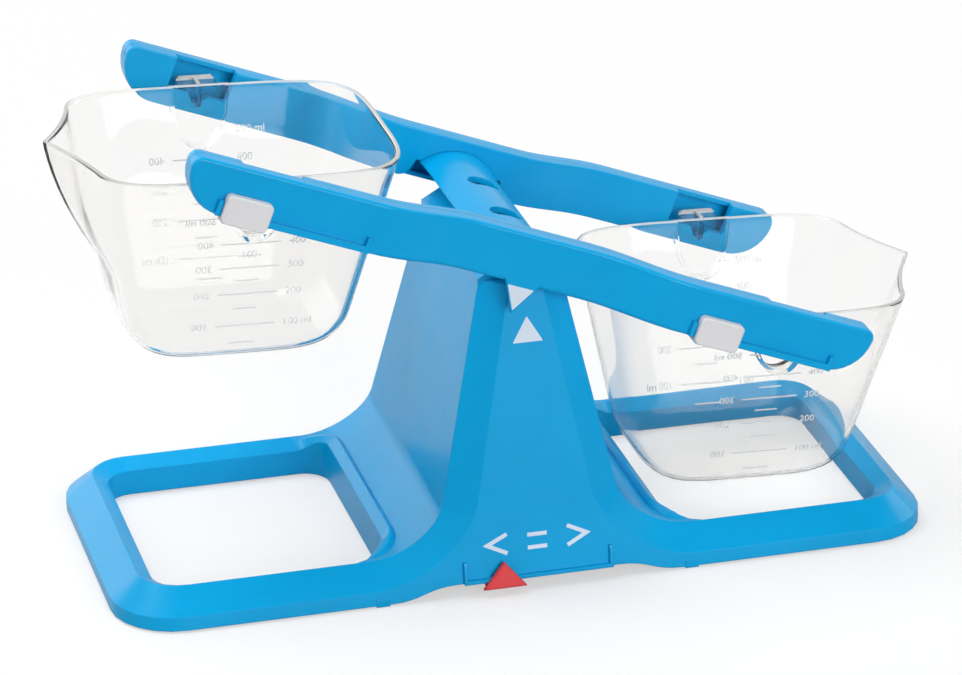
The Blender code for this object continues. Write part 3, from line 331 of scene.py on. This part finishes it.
# Materials
def dressed(name, group, colour, settings, bump, softness=0.0, sockets=None):
    """A material whose colour, roughness and bump come from one of the shared groups."""
    made = bpy.data.materials.new(name)
    made.use_nodes = True
    tree = made.node_tree
    shader = tree.nodes["Principled BSDF"]
    effect = node(tree, "ShaderNodeGroup", node_tree=group)
    effect.inputs["Colour"].default_value = tuple(colour)
    for key, value in settings.items():
        effect.inputs[key].default_value = value
    for key, value in (sockets or {}).items():
        shader.inputs[key].default_value = value
    tree.links.new(effect.outputs["Colour"], shader.inputs["Base Color"])
    tree.links.new(effect.outputs["Roughness"], shader.inputs["Roughness"])
    relief = node(tree, "ShaderNodeBump")
    relief.inputs["Strength"].default_value = 1.0
    relief.inputs["Distance"].default_value = bump
    tree.links.new(effect.outputs["Height"], relief.inputs["Height"])
    if softness:
        edge = node(tree, "ShaderNodeBevel", samples=8)
        edge.inputs["Radius"].default_value = softness
        tree.links.new(edge.outputs["Normal"], relief.inputs["Normal"])
    tree.links.new(relief.outputs["Normal"], shader.inputs["Normal"])
    return made


def moulded_plastic(name, colour, shade, gloss, rub, bump, softness=0.0, sockets=None):
    group = group_named("MouldedPlastic", moulded_group)
    settings = {"Shade": shade, "Gloss": gloss, "Rub": rub}
    return dressed(name, group, colour, settings, bump, softness, sockets)


def clear_moulding(name, colour, haze, bump, sockets):
    group = group_named("ClearMoulding", clear_group)
    return dressed(name, group, colour, {"Haze": haze}, bump, sockets=sockets)


def blue_plastic(colours):
    """Satin blue of the base, the beams and the saddle, with a faint polish."""
    polish = {
        "Specular IOR Level": 0.13, "Coat Weight": 0.4, "Coat Roughness": 0.14, "Coat IOR": 1.3,
    }
    return moulded_plastic(
        "blue_plastic", colours.blue, shade=0.05, gloss=0.34, rub=0.07,
        bump=0.000018, softness=0.0008, sockets=polish)


def red_plastic(colours):
    return moulded_plastic(
        "red_plastic", colours.red, shade=0.05, gloss=0.36, rub=0.06, bump=0.000015, softness=0.0004)


def white_plastic(colours):
    return moulded_plastic(
        "white_plastic", colours.white, shade=0.03, gloss=0.45, rub=0.08, bump=0.00002, softness=0.0006)


def pale_ink(colours):
    return moulded_plastic("pale_ink", colours.ink, shade=0.05, gloss=0.5, rub=0.1, bump=0.00001)


def drawn_steel(colours):
    group = group_named("DrawnSteel", steel_group)
    return dressed(
        "drawn_steel", group, colours.steel, {"Gloss": 0.28},
        bump=0.000008, softness=0.0002, sockets={"Metallic": 1.0})


def clear_plastic(colours):
    return clear_moulding(
        "clear_plastic", colours.clear, haze=0.12, bump=0.00002,
        sockets={"Transmission Weight": 0.99, "IOR": 1.2})


def clear_rim():
    """The rounded edge of the clear plastic, made paler and less clear than the wall: a painted
    highlight for the light that the edge gathers.
    """
    return clear_moulding(
        "clear_rim", (0.84, 0.83, 0.79, 1.0), haze=0.3, bump=0.00002,
        sockets={"Transmission Weight": 0.4})


def frosted_marks():
    """Raised lines and numbers, left matt in the mould."""
    return clear_moulding(
        "frosted_marks", (0.93, 0.95, 0.95, 1.0), haze=0.3, bump=0.00001,
        sockets={"Transmission Weight": 0.3, "IOR": 1.5})


def paint(names, made):
    """Gives a material to CAD nodes that are shown as they are."""
    for name in names:
        for slot in frame["nodes"][name].material_slots:
            slot.material = made


# Modelling helpers
def deselect():
    if bpy.context.object and bpy.context.object.mode != "OBJECT":
        bpy.ops.object.mode_set(mode="OBJECT")
    bpy.ops.object.select_all(action="DESELECT")


def select_only(piece):
    deselect()
    piece.select_set(True)
    bpy.context.view_layer.objects.active = piece


def edit_all():
    """Opens the active mesh for editing, all of it selected."""
    bpy.ops.object.mode_set(mode="EDIT")
    bpy.ops.mesh.select_all(action="SELECT")


def close_outwards():
    """Turns all faces outwards and ends the editing."""
    bpy.ops.mesh.select_all(action="SELECT")
    bpy.ops.mesh.normals_make_consistent(inside=False)
    bpy.ops.object.mode_set(mode="OBJECT")


def thicken(thickness):
    """Extrudes the flat mesh that is being edited and ends the editing."""
    bpy.ops.mesh.select_all(action="SELECT")
    bpy.ops.mesh.extrude_region_move(TRANSFORM_OT_translate={"value": (0, 0, thickness)})
    close_outwards()


def apply_place():
    bpy.ops.object.transform_apply(location=True, rotation=True, scale=True)


def settled(piece, name, made, body):
    """Puts an object's place into its mesh and lets it ride on a body."""
    apply_place()
    piece.name = name
    piece.data.name = name
    piece.data.materials.clear()
    piece.data.materials.append(made)
    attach(piece, body)


def body_of(name):
    bodies = frame["record"]["behaviour"]["bodies"]
    return next(body for body, held in bodies.items() if name in held)


def copied(name):
    """A merged copy of a CAD node's mesh, as an object of its own."""
    piece = bpy.data.objects.new(name + "_moulding", frame["nodes"][name].data.copy())
    bpy.context.scene.collection.objects.link(piece)
    select_only(piece)
    edit_all()
    bpy.ops.mesh.customdata_custom_splitnormals_clear()
    bpy.ops.mesh.remove_doubles(threshold=CAD_MERGE)
    bpy.ops.object.mode_set(mode="OBJECT")
    return piece


def softened(name, made):
    """A CAD node's copy whose shading runs smoothly round its corners, in the node's stead."""
    piece = copied(name)
    bpy.ops.object.shade_smooth_by_angle(angle=MOULDING_SMOOTH)
    bpy.ops.object.modifier_add(type="WEIGHTED_NORMAL")
    piece.modifiers[-1].keep_sharp = True
    bpy.ops.object.modifier_apply(modifier=piece.modifiers[-1].name)
    piece.data.materials.clear()
    piece.data.materials.append(made)
    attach(piece, body_of(name))
    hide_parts(name)


def plate(corners, thickness, rounding, place, turn):
    """A flat plate: a polygon drawn face up, its corners rounded, then extruded."""
    deselect()
    bpy.ops.mesh.primitive_circle_add(vertices=len(corners), radius=0.01, fill_type="NGON")
    piece = bpy.context.object
    for vertex, (x, y) in zip(piece.data.vertices, corners):
        vertex.co = (x, y, 0)
    edit_all()
    if rounding:
        bpy.ops.mesh.bevel(offset=rounding, segments=3, affect="VERTICES")
    thicken(thickness)
    piece.matrix_world = Matrix.Translation(place) @ turn
    return piece


def fit(piece, tool, operation):
    """Joins a tool to a piece, or cuts it out, and removes the tool."""
    select_only(piece)
    bpy.ops.object.modifier_add(type="BOOLEAN")
    modifier = piece.modifiers[-1]
    modifier.operation = operation
    modifier.solver = "EXACT"
    modifier.object = tool
    bpy.ops.object.modifier_apply(modifier=modifier.name)
    bpy.data.objects.remove(tool)


# Mouldings and small parts
class SCALE_OT_mouldings(bpy.types.Operator):
    """Gives the base, both beams and the saddle their satin blue plastic"""
    bl_idname = "scale.mouldings"
    bl_label = "Blue mouldings"

    def execute(self, context):
        made = blue_plastic(context.scene.scale_colours)
        for name in BLUE_NODES:
            softened(name, made)
        return {"FINISHED"}


class SCALE_OT_small_parts(bpy.types.Operator):
    """Finishes the marker, the trim weights, the axle and the screws"""
    bl_idname = "scale.small_parts"
    bl_label = "Marker, weights and steel"

    def execute(self, context):
        colours = context.scene.scale_colours
        paint(("equality_marker",), red_plastic(colours))
        paint(WHITE_NODES, white_plastic(colours))
        paint(STEEL_NODES, drawn_steel(colours))
        return {"FINISHED"}


# Buckets
def bucket_frame(sign):
    """Turns bucket coordinates into the scale's, at rest."""
    hinge = Vector(HINGES["right_bucket_swing" if sign > 0 else "left_bucket_swing"])
    place = Matrix.Translation(hinge) @ Matrix.Rotation(BUCKET_TILT, 4, "Y")
    return place @ Matrix.Rotation(0 if sign > 0 else math.pi, 4, "Z")


def plan_points():
    """Plan angles round a bucket's rim, close together at the spout and near the tower."""
    def angle_at(share, power):
        return math.asin(share ** (power / 2))

    spout = [
        angle_at(SPOUT_HALF * i / SPOUT_STEPS / SIDE, FAR_POWER) for i in range(SPOUT_STEPS + 1)]
    left = math.pi / 2 - spout[-1]
    corner = [spout[-1] + left * i / CORNER_STEPS for i in range(1, CORNER_STEPS + 1)]
    stop = math.pi - angle_at(NEAR_SHARE, NEAR_POWER) - NEAR_GAP
    long_wall = [math.pi / 2 * (1 + i / SIDE_STEPS) for i in range(1, SIDE_STEPS)]
    near = [
        math.pi - angle_at(NEAR_SHARE * (NEAR_STEPS - i) / NEAR_STEPS, NEAR_POWER)
        for i in range(NEAR_STEPS + 1)]
    half = spout + corner + [angle for angle in long_wall if angle < stop] + near
    return half + [2 * math.pi - angle for angle in reversed(half[1:-1])]


def wall_point(angle, drop, wall, shrink):
    """A point of a bucket's wall, drop metres under the rim, drawn in by the wall."""
    def reach(size, draft, radius):
        size = size - draft * drop - wall
        radius = max(radius - wall, LEAST_RADIUS)
        over = drop - (DEPTH - wall - radius)
        if over > 0:
            size -= radius - math.sqrt(max(radius * radius - over * over, 0))
        return size

    c, s = math.cos(angle), math.sin(angle)
    size, power = reach(FAR, FAR_DRAFT, END_RADIUS), FAR_POWER
    if c <= 0:
        size, power = reach(NEAR, NEAR_DRAFT, END_RADIUS), NEAR_POWER
    side = reach(SIDE, SIDE_DRAFT, SIDE_RADIUS)
    x = math.copysign(abs(c) ** (2 / power), c) * size
    y = math.copysign(abs(s) ** (2 / power), s) * side
    spout = max(0, 1 - abs(y) / SPOUT_HALF) ** SPOUT_POWER if c > 0 else 0
    fade = max(0, 1 - (drop / SPOUT_DEPTH) ** 2)
    lift = SPOUT_RISE * spout * max(0, 1 - drop / SPOUT_RISE_DROP)
    return Vector(((x + SPOUT_REACH * fade * spout) * shrink, y * shrink, RIM - drop + lift))


def wall_y(x, drop):
    """Half width of a bucket at a place on its long wall."""
    side = SIDE - SIDE_DRAFT * drop
    size, power = FAR - FAR_DRAFT * drop, FAR_POWER
    if x <= 0:
        size, power = NEAR - NEAR_DRAFT * drop, NEAR_POWER
    return side * (1 - min(abs(x) / size, LONG_WALL_END) ** power) ** (1 / power)


def descent(wall):
    """Drop, inward shift and shrink of each level, from the rim down to the middle of the floor."""
    depth = DEPTH - wall
    bend = END_RADIUS - wall
    drops = RIM_DROPS + [SPOUT_DEPTH * i / SPOUT_LEVELS for i in range(2, SPOUT_LEVELS + 1)]
    drops.append(depth - bend - ABOVE_BEND)
    for i in range(BEND_LEVELS + 1):
        drops.append(depth - bend * (1 - math.sin(BEND_TURN * i / BEND_LEVELS)))
    floor = [(depth, wall, shrink) for shrink in FLOOR_SHRINKS]
    return [(drop, wall, 1.0) for drop in drops] + floor


def wrapped_grid(levels):
    """A closed surface: a grid wrapped round the bucket's plan through the given levels."""
    deselect()
    angles = plan_points()
    across, up = len(angles), len(levels) - 1
    bpy.ops.mesh.primitive_grid_add(x_subdivisions=across, y_subdivisions=up, size=2)
    piece = bpy.context.object
    for vertex in piece.data.vertices:
        i = round((vertex.co.x + 1) / 2 * across) % across
        drop, wall, shrink = levels[round((vertex.co.y + 1) / 2 * up)]
        vertex.co = wall_point(angles[i], drop, wall, shrink)
    edit_all()
    bpy.ops.mesh.remove_doubles(threshold=GRID_MERGE)
    close_outwards()
    return piece


def bucket_shell():
    """A bucket without its hangers: up the outside, over the rim and down the inside."""
    rounding = [(drop, WALL * share, 1.0) for drop, share in RIM_ROUNDING]
    return wrapped_grid(descent(0.0)[::-1] + rounding + descent(WALL))


def bucket_core():
    """What a bucket encloses, out to about the middle of its wall and up past the rim."""
    wall = WALL * CORE_SHARE
    top = [(-CORE_RISE, wall, shrink) for shrink in CORE_SHRINKS]
    return wrapped_grid(descent(wall)[::-1] + top)


def pad(face, shrink, inner):
    """The upright tongue that stiffens a long wall under its hanger, or its hollow if shrunk."""
    half, depth, outer = PAD_HALF - shrink, PAD_DROP - shrink, SIDE - shrink
    high = RIM + (HOLLOW_RISE if shrink else -PAD_SINK)
    corners = [(half, high)]
    for i in range(1, PAD_STEPS):
        angle = math.pi * i / PAD_STEPS
        x = math.copysign(abs(math.cos(angle)) ** PAD_ROUNDNESS, math.cos(angle)) * half
        corners.append((x, RIM - math.sin(angle) ** PAD_ROUNDNESS * depth))
    corners.append((-half, high))
    place = Vector((0, outer if face > 0 else -inner, 0))
    piece = plate(corners, outer - inner, 0, place, Matrix.Rotation(math.pi / 2, 4, "X"))
    apply_place()
    return piece


def hanger(name, sign, face):
    """What stands out beyond the rim on one side: shelf, rail, rib and knife edge."""
    piece = copied(name)
    piece.data.transform(bucket_frame(sign).inverted() @ frame["nodes"][name].matrix_world)
    edit_all()
    bpy.ops.mesh.bisect(
        plane_co=(0, face * (SIDE + HANGER_CUT), 0), plane_no=(0, face, 0),
        use_fill=True, clear_inner=True, threshold=CUT_MERGE)
    close_outwards()
    for vertex in piece.data.vertices:
        if abs(vertex.co.y) < SIDE + HANGER_CUT + CUT_SLACK:
            vertex.co.y = face * (SIDE - HANGER_LAP)
    return piece


def on_rim(point):
    """The rounded top of the wall and the rail on the hanger's shelf, which take the rim's painted
    highlight.
    """
    return point.z > (RIM_BAND if abs(point.y) < SIDE + RIM_EDGE else SHELF_TOP)


class SCALE_OT_buckets(bpy.types.Operator):
    """Makes the two buckets of clear plastic"""
    bl_idname = "scale.buckets"
    bl_label = "Clear buckets"

    def execute(self, context):
        clear = clear_plastic(context.scene.scale_colours)
        # Second material for the buckets: the rim's painted highlight, a paler and less clear edge
        painted_rim_highlight = clear_rim()
        for sign, word in SIDES:
            piece = bucket_shell()
            for face in (-1, 1):
                block = pad(face, 0, PAD_INSIDE)
                fit(block, bucket_core(), "DIFFERENCE")
                fit(piece, block, "UNION")
                fit(piece, pad(face, WALL, HOLLOW_INSIDE), "DIFFERENCE")
                fit(piece, hanger("bucket_" + word, sign, face), "UNION")
            select_only(piece)
            # Faces of the rim and rail that will carry the rim's painted highlight
            rim = [polygon.index for polygon in piece.data.polygons if on_rim(polygon.center)]
            piece.matrix_world = bucket_frame(sign)
            settled(piece, "clear_bucket_" + word, clear, word + "_bucket")
            # The rim's painted highlight goes in as the second material, on the faces found above
            piece.data.materials.append(painted_rim_highlight)
            for index in rim:
                piece.data.polygons[index].material_index = 1
            bpy.ops.object.shade_smooth_by_angle(angle=BUCKET_SMOOTH)
            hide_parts("bucket_" + word)
        return {"FINISHED"}


# Printed signs
def bar(start, end, width):
    """Corners of a bar between two points."""
    a, b = Vector(start), Vector(end)
    along = (b - a).normalized() * (width / 2)
    across = Vector((-along.y, along.x))
    return [a - across, b - across, b + across, a + across]


def chevron(apex, upper, lower, width):
    """Corners of a < or > drawn with one stroke width."""
    apex = Vector(apex)
    tips = [Vector(upper), Vector(lower)]
    arms = [(tip - apex).normalized() for tip in tips]
    middle = (arms[0] + arms[1]).normalized()
    half = math.acos(max(-1, min(1, arms[0].dot(middle))))
    reach = middle * (width / 2 / math.sin(half))
    corners = []
    for tip, arm in zip(tips, arms):
        across = Vector((-arm.y, arm.x)) * (width / 2)
        outwards = across if across.dot(middle) < 0 else -across
        corners.append((tip - outwards, tip + outwards))
    (upper_in, upper_out), (lower_in, lower_out) = corners
    return [apex - reach, lower_out, lower_in, apex + reach, upper_in, upper_out]


class SCALE_OT_signs(bpy.types.Operator):
    """Prints the signs under the tower and the two pointing triangles"""
    bl_idname = "scale.signs"
    bl_label = "Printed signs"

    def execute(self, context):
        sizes = context.scene.scale_sizes
        ink = pale_ink(context.scene.scale_colours)
        thickness = SIGN_SUNK + sizes.ink_thickness
        stroke = sizes.stroke
        signs = {
            "sign_less": chevron(*LESS_SIGN, stroke),
            "sign_more": chevron(*MORE_SIGN, stroke),
            "sign_equal_upper": bar(*EQUAL_UPPER, stroke),
            "sign_equal_lower": bar(*EQUAL_LOWER, stroke),
            "tower_triangle": TOWER_TRIANGLE,
        }
        stretch = 1 / math.cos(FACE_ANGLE)
        place = Vector((0, FACE_FOOT_Y + SIGN_SUNK, 0))
        turn = Matrix.Rotation(math.pi / 2 - FACE_ANGLE, 4, "X")
        for name, corners in signs.items():
            rounding = TRIANGLE_ROUNDING if name == "tower_triangle" else 0
            flat = [(x, z * stretch) for x, z in corners]
            settled(plate(flat, thickness, rounding, place, turn), name, ink, "base")
        place = PIVOT + Vector((0, BEAM_FACE_Y + SIGN_SUNK, 0))
        turn = Matrix.Rotation(BEAM_TILT, 4, "Y") @ Matrix.Rotation(math.pi / 2, 4, "X")
        piece = plate(BEAM_TRIANGLE, thickness, TRIANGLE_ROUNDING, place, turn)
        settled(piece, "beam_triangle", ink, "beams")
        return {"FINISHED"}


# Graduations
def wrapped(piece, face, mirror, sign):
    """Lays a flat mesh, x across and y up from the rim, on to the outside of a bucket's wall."""
    place = bucket_frame(sign)
    for vertex in piece.data.vertices:
        x, down, out = vertex.co
        x = -x if mirror else x
        drop = -down
        y = wall_y(x * face, drop) + out
        vertex.co = place @ Vector((x * face, -face * y, RIM - drop))
    if mirror:
        select_only(piece)
        edit_all()
        bpy.ops.mesh.flip_normals()
        bpy.ops.object.mode_set(mode="OBJECT")
    return piece


def level_line(ends, drop, sizes, face, sign):
    """A raised line, cut into short steps so that it follows the wall."""
    deselect()
    bpy.ops.mesh.primitive_plane_add(size=1)
    piece = bpy.context.object
    for vertex in piece.data.vertices:
        x = ends[0] if vertex.co.x < 0 else ends[1]
        vertex.co = (x, -drop + math.copysign(sizes.line_width / 2, vertex.co.y), -MARK_SUNK)
    edit_all()
    bpy.ops.mesh.subdivide(number_cuts=LINE_CUTS)
    thicken(MARK_SUNK + sizes.line_height)
    return wrapped(piece, face, False, sign)


def figure(value, unit, start, sizes, face, sign, mirror):
    """A moulded number: plain text made a mesh and laid on the wall."""
    deselect()
    bpy.ops.object.text_add()
    text = bpy.context.object.data
    half = (MARK_SUNK + sizes.line_height) / 2
    text.body = str(value) + unit
    text.size = sizes.figure_height * TEXT_TO_FIGURE
    text.extrude = half
    text.resolution_u = 3
    text.align_x = "LEFT"
    text.align_y = "CENTER"
    bpy.ops.object.convert(target="MESH")
    piece = bpy.context.object
    for vertex in piece.data.vertices:
        vertex.co += Vector((start, -LEVELS[value], half - MARK_SUNK))
    return wrapped(piece, face, mirror, sign)


def wall_marks(sizes, face, sign):
    """All lines and numbers of one long wall: the mirrored numbers, then the readable ones."""
    pieces = []
    for value, drop in LEVELS.items():
        ends = ODD_LINES.get(value, HALF_LINE if value % 100 else WHOLE_LINE)
        pieces.append(level_line(ends, drop, sizes, face, sign))
    for value in MIRRORED_FIGURES:
        unit = " ml" if value == 500 else ""
        pieces.append(figure(value, unit, MIRRORED_FROM, sizes, face, sign, True))
    for value in READABLE_FIGURES:
        unit = " ml" if value == 100 else ""
        pieces.append(figure(value, unit, READABLE_FROM, sizes, face, sign, False))
    return pieces


class SCALE_OT_graduations(bpy.types.Operator):
    """Moulds the level lines and their numbers on both long walls of each bucket"""
    bl_idname = "scale.graduations"
    bl_label = "Graduations"

    def execute(self, context):
        frosted = frosted_marks()
        for sign, word in SIDES:
            for face in (1, -1):
                side = "front" if face * sign > 0 else "rear"
                pieces = wall_marks(context.scene.scale_sizes, face, sign)
                select_only(pieces[0])
                for piece in pieces:
                    piece.select_set(True)
                bpy.ops.object.join()
                name = "graduations_" + word + "_" + side
                settled(pieces[0], name, frosted, word + "_bucket")
        return {"FINISHED"}


# Stage
def kinds_of_ray(tree):
    """Two shares: rays that see the stage directly or through clear plastic, and reflections."""
    path = node(tree, "ShaderNodeLightPath").outputs
    once = math_node(tree, "MINIMUM", path["Glossy Depth"], 1.0)
    less = math_node(tree, "MULTIPLY", once, AFTER_MIRROR)
    through = math_node(tree, "SUBTRACT", path["Is Transmission Ray"], less, True)
    direct = math_node(tree, "MAXIMUM", path["Is Camera Ray"], through)
    rest = math_node(tree, "SUBTRACT", 1.0, direct)
    return direct, math_node(tree, "MULTIPLY", path["Is Glossy Ray"], rest)


def by_ray(tree, kinds, plain, white, mirrored):
    """A level for each kind of ray: plain for lighting, white to the eye, mirrored in reflections."""
    level = plain
    for share, other in zip(kinds, (white, mirrored)):
        pull = math_node(tree, "MULTIPLY", math_node(tree, "SUBTRACT", other, plain), share)
        level = math_node(tree, "ADD", pull, level)
    return level


def behind(tree, source, span, levels):
    """The first level in front of the scale, and the second behind and left of it."""
    axes = node(tree, "ShaderNodeSeparateXYZ")
    tree.links.new(node(tree, "ShaderNodeTexCoord").outputs[source], axes.inputs["Vector"])
    across = math_node(tree, "MULTIPLY", axes.outputs["X"], BEHIND_TURN)
    return remap(tree, math_node(tree, "SUBTRACT", axes.outputs["Y"], across), span, levels)


def pale_floor():
    """A pale floor: white to the eye, with the soft shadow kept near the scale."""
    made = bpy.data.materials.new("pale_floor")
    made.use_nodes = True
    tree = made.node_tree
    tree.nodes.clear()
    length = node(tree, "ShaderNodeVectorMath", operation="LENGTH")
    tree.links.new(node(tree, "ShaderNodeTexCoord").outputs["Object"], length.inputs[0])
    distance = length.outputs["Value"]
    kinds = kinds_of_ray(tree)
    seen = remap(tree, distance, SHADOW_SPAN, (NEAR_GREY, 0.0))
    mirrored = behind(tree, "Object", FLOOR_BEHIND, FLOOR_MIRRORED)
    level = by_ray(tree, kinds, FLOOR_BOUNCE, seen, mirrored)
    grey = node(tree, "ShaderNodeCombineColor")
    for channel in ("Red", "Green", "Blue"):
        tree.links.new(level, grey.inputs[channel])
    lit = node(tree, "ShaderNodeBsdfDiffuse")
    tree.links.new(grey.outputs["Color"], lit.inputs["Color"])
    glow = remap(tree, distance, SHADOW_SPAN, (NEAR_GLOW, 1.0))
    own = node(tree, "ShaderNodeEmission")
    tree.links.new(by_ray(tree, kinds, 0.0, glow, 0.0), own.inputs["Strength"])
    both = node(tree, "ShaderNodeAddShader")
    tree.links.new(lit.outputs[0], both.inputs[0])
    tree.links.new(own.outputs[0], both.inputs[1])
    end = node(tree, "ShaderNodeOutputMaterial")
    tree.links.new(both.outputs[0], end.inputs["Surface"])
    return made


def pale_world(scene):
    """Dim for lighting, white to the eye, and pale only behind the scale in reflections."""
    world = scene.world or bpy.data.worlds.new("pale_world")
    scene.world = world
    world.use_nodes = True
    tree = world.node_tree
    tree.nodes.clear()
    mirrored = behind(tree, "Generated", WORLD_BEHIND, WORLD_MIRRORED)
    level = by_ray(tree, kinds_of_ray(tree), WORLD_LIGHT, 1.0, mirrored)
    sky = node(tree, "ShaderNodeBackground")
    sky.inputs["Color"].default_value = (1, 1, 1, 1)
    tree.links.new(level, sky.inputs["Strength"])
    end = node(tree, "ShaderNodeOutputWorld")
    tree.links.new(sky.outputs[0], end.inputs["Surface"])


def add_lamp(name, place, width, power):
    bpy.ops.object.light_add(type="AREA", location=place)
    lamp = bpy.context.object
    lamp.name = name
    lamp.data.shape = "DISK"
    lamp.data.size = width
    lamp.data.energy = power
    aim = LAMP_AIM - Vector(place)
    lamp.rotation_euler = aim.to_track_quat("-Z", "Y").to_euler()


def add_camera(scene):
    """The camera at the photograph's place, angle and lens."""
    bpy.ops.object.camera_add(location=CAMERA_PLACE)
    camera = bpy.context.object
    camera.name = "photo_camera"
    camera.data.sensor_fit = "HORIZONTAL"
    camera.data.sensor_width = 36
    camera.data.lens = CAMERA_LENS
    camera.data.clip_start = 0.05
    camera.data.clip_end = 50
    azimuth, rise, roll = (math.radians(a) for a in (CAMERA_AZIMUTH, CAMERA_RISE, CAMERA_ROLL))
    level = math.cos(rise)
    back = Vector((math.sin(azimuth) * level, -math.cos(azimuth) * level, math.sin(rise)))
    right = Vector((math.cos(azimuth), math.sin(azimuth), 0))
    up = back.cross(right)
    tilted = right * math.cos(roll) + up * math.sin(roll)
    upright = up * math.cos(roll) - right * math.sin(roll)
    camera.rotation_euler = Matrix((tilted, upright, back)).transposed().to_euler()
    scene.camera = camera


class SCALE_OT_stage(bpy.types.Operator):
    """Sets up the pale floor, the soft lamps, the world and the camera"""
    bl_idname = "scale.stage"
    bl_label = "Floor, lamps and camera"

    def execute(self, context):
        scene = context.scene
        deselect()
        bpy.ops.mesh.primitive_plane_add(size=FLOOR_SIZE, location=(0, 0, FLOOR_Z))
        floor = context.object
        floor.name = "floor"
        floor.data.materials.append(pale_floor())
        pale_world(scene)
        for name, place, width, power in LAMPS:
            add_lamp(name, place, width, power)
        add_camera(scene)
        scene.view_settings.view_transform = "Standard"
        return {"FINISHED"}


class SCALE_PT_panel(bpy.types.Panel):
    """Lists the steps and the values that a user would change"""
    bl_label = "Balance scale"
    bl_idname = "SCALE_PT_panel"
    bl_space_type = "VIEW_3D"
    bl_region_type = "UI"
    bl_category = "Scale"

    def draw(self, context):
        layout = self.layout
        for group in (context.scene.scale_colours, context.scene.scale_sizes):
            column = layout.column()
            for key in group.bl_rna.properties.keys():
                if key not in ("rna_type", "name"):
                    column.prop(group, key)
        for step in STEPS:
            layout.operator(step.bl_idname)


STEPS = (
    SCALE_OT_mouldings,
    SCALE_OT_small_parts,
    SCALE_OT_buckets,
    SCALE_OT_signs,
    SCALE_OT_graduations,
    SCALE_OT_stage,
)
CLASSES = (ScaleColours, ScaleSizes, SCALE_PT_panel) + STEPS


def register():
    for kind in CLASSES:
        bpy.utils.register_class(kind)
    bpy.types.Scene.scale_colours = bpy.props.PointerProperty(type=ScaleColours)
    bpy.types.Scene.scale_sizes = bpy.props.PointerProperty(type=ScaleSizes)


def unregister():
    del bpy.types.Scene.scale_sizes
    del bpy.types.Scene.scale_colours
    for kind in reversed(CLASSES):
        bpy.utils.unregister_class(kind)


def main():
    register()
    bpy.ops.scale.mouldings()
    bpy.ops.scale.small_parts()
    bpy.ops.scale.buckets()
    bpy.ops.scale.signs()
    bpy.ops.scale.graduations()
    bpy.ops.scale.stage()


if __name__ == "__main__":
    main()
